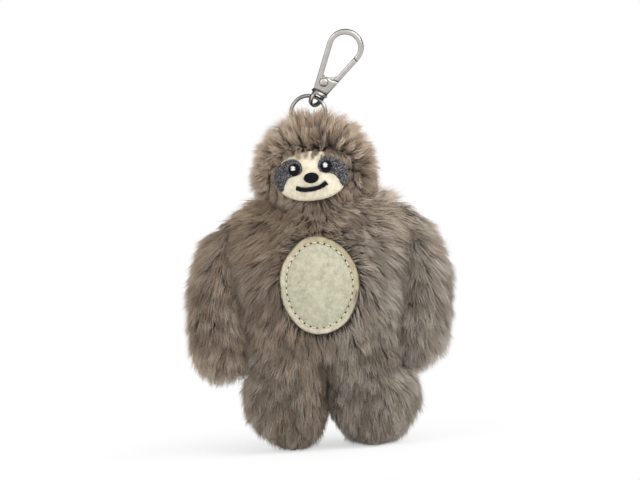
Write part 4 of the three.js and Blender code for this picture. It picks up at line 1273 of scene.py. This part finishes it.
EYE_PATCH = np.array([
    (0.2, 0.42), (0.28, 0.66), (0.46, 0.79), (0.69, 0.69), (0.86, 0.46), (0.95, 0.13), (0.93, -0.18),
    (0.83, -0.46), (0.77, -0.42), (0.72, -0.2), (0.6, 0.03), (0.38, 0.12), (0.25, 0.2),
])
EYE_OUT, EYE_UP = 6.3, 3.9
for side, sign in SIDES:
    wide = 1 + 0.05 * smooth(0.6, 0.95, EYE_PATCH[:, :1])
    area = smooth_outline(EYE_PATCH * wide * FACE_SIZE + [0, 0.4]) * [sign, 1]
    embroider(
        f"eye_patch_threads_{side}", f"eye_patch_{side}", area, GREY_THREAD, "grey_thread",
        back=5.0, front=3.95, roll=0.6, pad_size=0.97,
        Spacing=0.00036, Thread_length=0.0012, Direction=(0.5 * sign, 0, 0.8), Crossing=0.9, Seed=3,
    )
    eye = oval(2.6, 2.55) + [EYE_OUT * sign, EYE_UP]
    embroider(
        f"eye_threads_{side}", f"eye_{side}", eye, BLACK_THREAD, "black_thread",
        back=4.6, front=3.4, roll=1.1, Thread_length=0.0016, Direction=(0.15, 0, 1), Seed=5,
    )
    glint = oval(0.95, 1.05, 24) + [EYE_OUT * sign - 0.4, EYE_UP + 0.5]
    embroider(
        f"eye_glint_threads_{side}", f"eye_glint_{side}", glint, WHITE_THREAD, "white_thread",
        back=3.7, front=3.1, roll=0.5, Thread_length=0.0011, Direction=(1, 0, 0.2), Seed=7,
    )
embroider(
    "nose_threads", "nose", oval(3.0, 2.05), BLACK_THREAD, "black_thread",
    back=4.8, front=3.1, roll=1.5, Thread_length=0.0017, Direction=(1, 0, 0.1), Seed=9,
)


# %% The smile, in satin stitches across its line
def line_on(name, flat, front_of, depth, closed, step=0.05):
    """A chain of edges on a patch, whose points know which way is out."""
    points = laid_on(front_of, flat, depth)
    slopes = [(laid_on(front_of, flat + way, depth) - points)[:, 1] / step for way in ([step, 0], [0, step])]
    mesh = bpy.data.meshes.new(name)
    edges = [(i, i + 1) for i in range(len(flat) - 1)] + ([(len(flat) - 1, 0)] if closed else [])
    mesh.from_pydata((points * MM).tolist(), edges, [])
    made = linked(name, mesh)
    write(made, "outward", unit(np.stack([slopes[0], -np.ones(len(flat)), slopes[1]], 1)), "FLOAT_VECTOR")
    return made


def stitch_line(name, flat, front_of, depth, material, body, slot, *nodes, closed=True, **values):
    """Stitches along a line that lies on a curved front at a depth below the tips of the fur."""
    guide = line_on(f"{name}_guide", flat, front_of, depth, closed)
    made = grown(guide, LINE_TREE, name, Material=material, **values)
    bpy.data.objects.remove(guide)
    wear(made, body, slot, *nodes)
    return made


SMILE = np.array([
    (-1.03, -0.69), (-0.72, -0.86), (-0.27, -0.91), (0.15, -0.88), (0.58, -0.76), (0.95, -0.51),
])
SMILE_SIZE = [6.0, 4.9]
smile = stitch_line(
    "smile_threads", on_face(open_curve(SMILE * SMILE_SIZE)), head_front, 4.0,
    BLACK_THREAD, "head", "black_thread", "mouth", closed=False,
    Spacing=0.00026, Thread_length=0.0021, Thread_width=0.0004, Crosswise=1.0, Arch=0.0003, Seed=2,
)


# %% [markdown]
# ## The belly
# An oval of felt is sewn on by a running stitch near its edge. The thread pulls the felt down into a groove,
# so the rim outside it and the oval inside it both swell a little. Between two stitches the thread dives
# through a needle hole, whose shade is painted as a small dark dot of black thread.

# %% Belly felt with its sewn groove
STITCH_INSET, STITCHES = 2.7, 34
GROOVE_DEPTH, GROOVE_WIDTH, SWELL_REACH = 0.35, 0.4, 9
UNEVENNESS, TAPER = 0.12, 0.08  # the felt's bumps in millimetres, and how much narrower its top is cut


def belly_relief(flat, away):
    groove = -GROOVE_DEPTH * np.exp(-(((away - STITCH_INSET) / GROOVE_WIDTH) ** 2))
    swell = smooth(STITCH_INSET, STITCH_INSET + SWELL_REACH, away)
    uneven = UNEVENNESS * np.sin(flat[:, 0] * 0.9 + 1.3) * np.sin(flat[:, 1] * 0.7)
    return groove + swell + uneven


def cut_oval(half, count=96):
    """The belly's oval, narrower at its top and cut a little unevenly by hand."""
    flat = oval(*half, count)
    turn = np.arctan2(flat[:, 1], flat[:, 0])
    flat *= (1 + 0.008 * np.sin(3 * turn + 1) + 0.006 * np.sin(7 * turn + 2))[:, None]
    flat[:, 0] *= 1 - TAPER * smooth(4, 19, flat[:, 1])
    return flat + BELLY_CENTRE


belly_outline = cut_oval(BELLY_HALF)
belly = patch(
    "belly_felt", belly_outline, body_front, back=5.0, front=3.3, roll=0.45, gap=0.5, relief=belly_relief
)
wear(belly, "torso", "cream_felt", "belly_patch", material=BELLY_FELT)

# %% Running stitch, and needle holes halfway between its stitches
STEPS_A_STITCH = 8
seam = cut_oval(BELLY_HALF - STITCH_INSET, 240)
pitch = np.linalg.norm(seam - np.roll(seam, 1, 0), axis=1).sum() / STITCHES
sewn = spaced(seam, pitch / STEPS_A_STITCH)
running = stitch_line(
    "belly_running_stitch", sewn, body_front, 3.4,
    CREAM_THREAD, "torso", "cream_thread", "belly_stitching",
    Spacing=pitch * MM, Thread_length=0.74 * pitch * MM, Thread_width=0.00042, Arch=0.0002, Seed=4,
)
# Painted shade: each needle hole is a tiny black thread that stands for the shade inside the hole.
holes = stitch_line(
    "belly_needle_holes", np.roll(sewn, STEPS_A_STITCH // 2, 0), body_front, 3.35,
    BLACK_THREAD, "torso", "cream_felt",
    Spacing=pitch * MM, Thread_length=0.0006, Thread_width=0.0006, Arch=0.0, Seed=6,
)

# %% [markdown]
# ## Metal
# The hook, its gate, the swivel and the ring are cast and drawn in zinc and steel with a satin nickel finish.
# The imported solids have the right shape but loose, flat triangles. A copy with its corners merged can be
# shaded smoothly over its rounded edges, while edges sharper than an angle stay crisp. Castings are tumbled
# before they are plated, so light bends round their edges over about a millimetre.


# %% Satin nickel
TUMBLED_EDGE = 0.0011  # metres
EDGE_RAYS = 8


def handled_values(tree, get):
    smudge = noise(tree, get["Place"], get["Smudge scale"], 4.0, 0.65)
    return {"Smudge": smudge, "Grain": noise(tree, get["Place"], get["Grain scale"], 2.0, 0.5)}


HANDLED = effect("handled_metal", handled_values, Smudge_scale=260.0, Grain_scale=3800.0)


def nickel_material(name, colour, roughness, **scales):
    made, tree, shader = new_material(name, roughness, Metallic=1.0)
    metal = placed(tree, HANDLED, **scales)
    dyed(tree, shader, metal["Smudge"], (0.3, tuple(0.8 * value for value in colour)), (0.7, colour))
    rough = put(tree, "ShaderNodeMapRange", metal["Smudge"], 0.3, 0.7, roughness + 0.1, roughness - 0.04)
    tree.links.new(rough, shader.inputs["Roughness"])
    grain = bumped(tree, shader, metal["Grain"], 0.08, 0.00002)
    tumbled = put(tree, "ShaderNodeBevel", TUMBLED_EDGE)
    tumbled.node.samples = EDGE_RAYS
    tree.links.new(tumbled, grain.inputs["Normal"])
    return made


NICKEL = nickel_material("satin_nickel", (0.55, 0.53, 0.49), 0.34)
STEEL = nickel_material("ring_steel", (0.34, 0.335, 0.315), 0.3, Smudge_scale=340.0)


# %% Smoothly shaded copies of the fitting
SAME_CORNER = 2e-6  # metres
SAME_FACE = math.radians(0.5)


def smoothed(node, name, body, material, slot, sharp=60, plates=False):
    mesh = bpy.data.objects[node].data.copy()
    shell = bmesh.new()
    shell.from_mesh(mesh)
    bmesh.ops.remove_doubles(shell, verts=shell.verts, dist=SAME_CORNER)
    bmesh.ops.dissolve_limit(shell, angle_limit=SAME_FACE, verts=shell.verts, edges=shell.edges)
    shell.to_mesh(mesh)
    shell.free()
    mesh.shade_smooth()
    mesh.set_sharp_from_angle(angle=math.radians(sharp))
    mesh.materials.clear()
    made = linked(name, mesh)
    if plates:
        made.modifiers.new("flat faces stay flat", "WEIGHTED_NORMAL").keep_sharp = True
    wear(made, body, slot, node, material=material)
    print(f"{name}: {len(mesh.polygons)} faces")


# %% The rivet: a shaft between two low domes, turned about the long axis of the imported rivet
RIVET_DOME, RIVET_SHAFT = 0.65, 0.65  # the domes' height and the shaft's radius


def rivet(sides=48, dome_steps=9):
    packed = points_of(bpy.data.objects["gate_rivet"])
    middle = (packed.min(0) + packed.max(0)) / 2
    axis = np.linalg.svd(packed - middle, full_matrices=False)[2][0]
    first = unit(np.cross(axis, (0, 0, 1)))
    second = np.cross(axis, first)
    along = (packed - middle) @ axis
    length = np.abs(along).max()
    radius = np.linalg.norm(packed - middle - along[:, None] * axis, axis=1).max()
    round_off = np.linspace(0, 0.5 * math.pi, dome_steps)[1:]
    dome = np.stack([radius * np.sin(round_off), length - RIVET_DOME * (1 - np.cos(round_off))], 1)
    shaft = [(RIVET_SHAFT, length - RIVET_DOME), (RIVET_SHAFT, RIVET_DOME - length)]
    profile = np.vstack([dome, shaft, (dome * [1, -1])[::-1]])
    round_way = np.cos(turns(sides))[:, None] * first + np.sin(turns(sides))[:, None] * second
    rings = np.array([middle + at * axis + r * round_way for r, at in profile])
    made = solid_of_rings("rivet", rings, (middle + length * axis, middle - length * axis), sharp=50)
    wear(made, "hook", "satin_nickel", "gate_rivet", material=NICKEL)
    print(f"rivet: {2 * radius:.2f} mm across, {2 * length:.2f} mm long")


smoothed("hook_body", "snap_hook", "hook", NICKEL, "satin_nickel", sharp=50, plates=True)
smoothed("gate", "snap_gate", "gate", NICKEL, "satin_nickel", sharp=50, plates=True)
rivet()
smoothed("gate_spring", "gate_hairpin", "hook", STEEL, "ring_steel")
smoothed("swivel_eye", "swivel", "swivel", STEEL, "satin_nickel")
smoothed("split_ring", "key_ring", "ring", STEEL, "ring_steel")

# %% [markdown]
# ## Ribbon tab
# A short woven ribbon loops round the ring and is sewn into the crown. A strip of faces follows the loop, and
# a modifier gives it its thickness. Its weave is read from a UV map, so that it runs along the ribbon.


# %% Ribbon
RIBBON_THICK, RIBBON_ROOM = 0.5, 0.45  # the room is between the ribbon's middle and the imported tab's sides
RIBBON_MARGIN = 0.1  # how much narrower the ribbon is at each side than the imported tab
LOOP_POINTS, STRIP_POINTS = 36, 9  # round the loop and across the ribbon
WIDTH_IN_MAP = 0.4
LOOP_FROM, LOOP_TO = -58, 238  # degrees
TUCKED_IN = 0.4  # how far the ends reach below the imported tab


def ribbon_material():
    made, tree, shader = new_material("woven_ribbon", 0.8, Sheen_Weight=0.2)
    on_ribbon = put(tree, "ShaderNodeUVMap", uv_map="ribbon")
    weave = put(tree, "ShaderNodeTexChecker", on_ribbon, None, None, 60.0, out=1)
    dyed(tree, shader, weave, (0.2, (0.12, 0.09, 0.07)), (0.8, (0.2, 0.155, 0.12)))
    bumped(tree, shader, weave, 0.4, 0.00008)
    return made


def ribbon_tab():
    low, high = (np.array(corner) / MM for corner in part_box("ring_tab"))
    half_width, loop = (high[0] - low[0]) / 2 - RIBBON_MARGIN, (high[1] - low[1]) / 2 - RIBBON_ROOM
    turn = np.radians(np.linspace(LOOP_FROM, LOOP_TO, LOOP_POINTS))
    path = np.stack([loop * np.cos(turn), high[2] - RIBBON_ROOM - loop + loop * np.sin(turn)], 1)
    end = low[2] - TUCKED_IN
    path = np.vstack([(TUCKED_IN, end), path, (-TUCKED_IN, end)])
    across = np.linspace(-half_width, half_width, STRIP_POINTS)
    width, rows = len(across), len(path)
    points = np.array([(x, y, z) for y, z in path for x in across])
    starts = [row * width + i for row in range(rows - 1) for i in range(width - 1)]
    mesh = bpy.data.meshes.new("ribbon_tab")
    mesh.from_pydata((points * MM).tolist(), [], [(a, a + 1, a + width + 1, a + width) for a in starts])
    mesh.uv_layers.new(name="ribbon")
    at = [(index // width / rows, index % width / width * WIDTH_IN_MAP) for index in range(len(points))]
    uv = np.array([at[corner.vertex_index] for corner in mesh.loops])
    mesh.uv_layers["ribbon"].data.foreach_set("uv", uv.ravel())
    mesh.shade_smooth()
    made = linked("ribbon_tab", mesh)
    thick = made.modifiers.new("thickness", "SOLIDIFY")
    thick.thickness, thick.offset = RIBBON_THICK * MM, 0
    wear(made, "tab", "ribbon", "ring_tab", material=ribbon_material())


ribbon_tab()

# %% [markdown]
# ## Camera, lights and floor
# The photograph was taken with a long lens, a little from above. The toy leans to the left in it, which is a
# roll of the camera here, so that the toy itself can stand straight.

# %% Camera
PIXEL = 0.402 * MM  # what one pixel of the picture covers at the toy
PICTURE = (640, 480)
ORIGIN_IN_PICTURE = (331.7, 446.6)  # pixels from the left and from the top
LENS, SENSOR = 120, 36
ROLL, ELEVATION = math.radians(4.0), math.radians(2)


def photo_camera():
    camera = bpy.data.cameras.new("camera")
    camera.lens, camera.sensor_width = LENS, SENSOR
    distance = PIXEL * PICTURE[0] / (SENSOR / LENS)
    back = Vector((0, -math.cos(ELEVATION), math.sin(ELEVATION)))
    looking = (-back).to_track_quat("-Z", "Y").to_matrix().to_4x4() @ Matrix.Rotation(-ROLL, 4, "Z")
    (right, down), (wide, high) = ORIGIN_IN_PICTURE, PICTURE
    centre = looking @ -Vector(((right - wide / 2) * PIXEL, (high / 2 - down) * PIXEL, 0))
    made = linked("camera", camera)
    made.matrix_world = Matrix.Translation(centre + back * distance) @ looking
    bpy.context.scene.camera = made


photo_camera()

# %% [markdown]
# The photograph's ground is plain white, with a faint shadow at the feet only. The floor is a real surface
# near the toy and turns into plain white light further out. Only the camera and mirrors see that light.
# The metal mirrors a room of its own, which is bright before the toy's face and dark behind and beside it.


# %% Floor and white surroundings
FLOOR_HALF = 2  # metres
SHADOW_NEAR, SHADOW_FAR, WHITE_NEAR = 0.02, 0.1, 0.6
SKY_LIGHT, ROOM_DARK, ROOM_BRIGHT = 0.58, 0.1, 1.25
ROOM_TILT, BRIGHT_FROM, BRIGHT_TO = 0.35, 0.4, 0.95  # how far up the bright side leans, and where it begins
WHITE = (1, 1, 1, 1)


def seen_rays(tree, *kinds):
    path = tree.nodes.new("ShaderNodeLightPath")
    return folded(tree, calc, "MAXIMUM", *(path.outputs[f"Is {kind} Ray"] for kind in kinds))


def stage():
    corners = [(x * FLOOR_HALF, y * FLOOR_HALF, 0) for x, y in ((-1, -1), (1, -1), (1, 1), (-1, 1))]
    mesh = bpy.data.meshes.new("floor")
    mesh.from_pydata(corners, [], [(0, 1, 2, 3)])
    made, tree, shader = new_material("pale_floor", 0.9, Base_Color=(0.9, 0.9, 0.9, 1))
    away = vector(tree, "LENGTH", own_place(tree))
    share = put(tree, "ShaderNodeMapRange", away, SHADOW_NEAR, SHADOW_FAR, WHITE_NEAR, 1.0)
    white = put(tree, "ShaderNodeEmission", WHITE, 1.0)
    seen = seen_rays(tree, "Camera", "Glossy", "Transmission")
    both = put(tree, "ShaderNodeMixShader", times(tree, share, seen), shader.outputs[0], white)
    tree.links.new(both, tree.nodes["Material Output"].inputs[0])
    mesh.materials.append(made)
    linked("floor", mesh)


def surroundings():
    world = bpy.data.worlds.new("world")
    world.use_nodes = True
    tree = world.node_tree
    lighting = tree.nodes["Background"]
    lighting.inputs[0].default_value, lighting.inputs[1].default_value = WHITE, SKY_LIGHT
    _, depth, height = apart(tree, tree.nodes.new("ShaderNodeTexCoord").outputs["Generated"])
    ahead = calc(tree, "MULTIPLY_ADD", depth, -1.0, times(tree, height, ROOM_TILT))
    room = put(tree, "ShaderNodeMapRange", ahead, BRIGHT_FROM, BRIGHT_TO, ROOM_DARK, ROOM_BRIGHT)
    mirrored = put(tree, "ShaderNodeBackground", WHITE, room)
    glossy = put(tree, "ShaderNodeMixShader", seen_rays(tree, "Glossy"), lighting.outputs[0], mirrored)
    white = put(tree, "ShaderNodeBackground", WHITE, 1.0)
    both = put(tree, "ShaderNodeMixShader", seen_rays(tree, "Camera", "Transmission"), glossy, white)
    tree.links.new(both, tree.nodes["World Output"].inputs[0])
    bpy.context.scene.world = world


def lamp(name, place, size, power, aim=Vector((0, 0, 0.08))):
    light = bpy.data.lights.new(name, "AREA")
    light.size, light.energy = size, power
    made = linked(name, light)
    made.location = place
    made.rotation_euler = (aim - Vector(place)).to_track_quat("-Z", "Y").to_euler()


stage()
surroundings()
lamp("key", (0.68, -0.46, 0.72), 0.8, 10.4)
lamp("fill", (-0.7, -0.42, 0.5), 0.8, 3.6)
bpy.context.scene.view_settings.view_transform = "Standard"
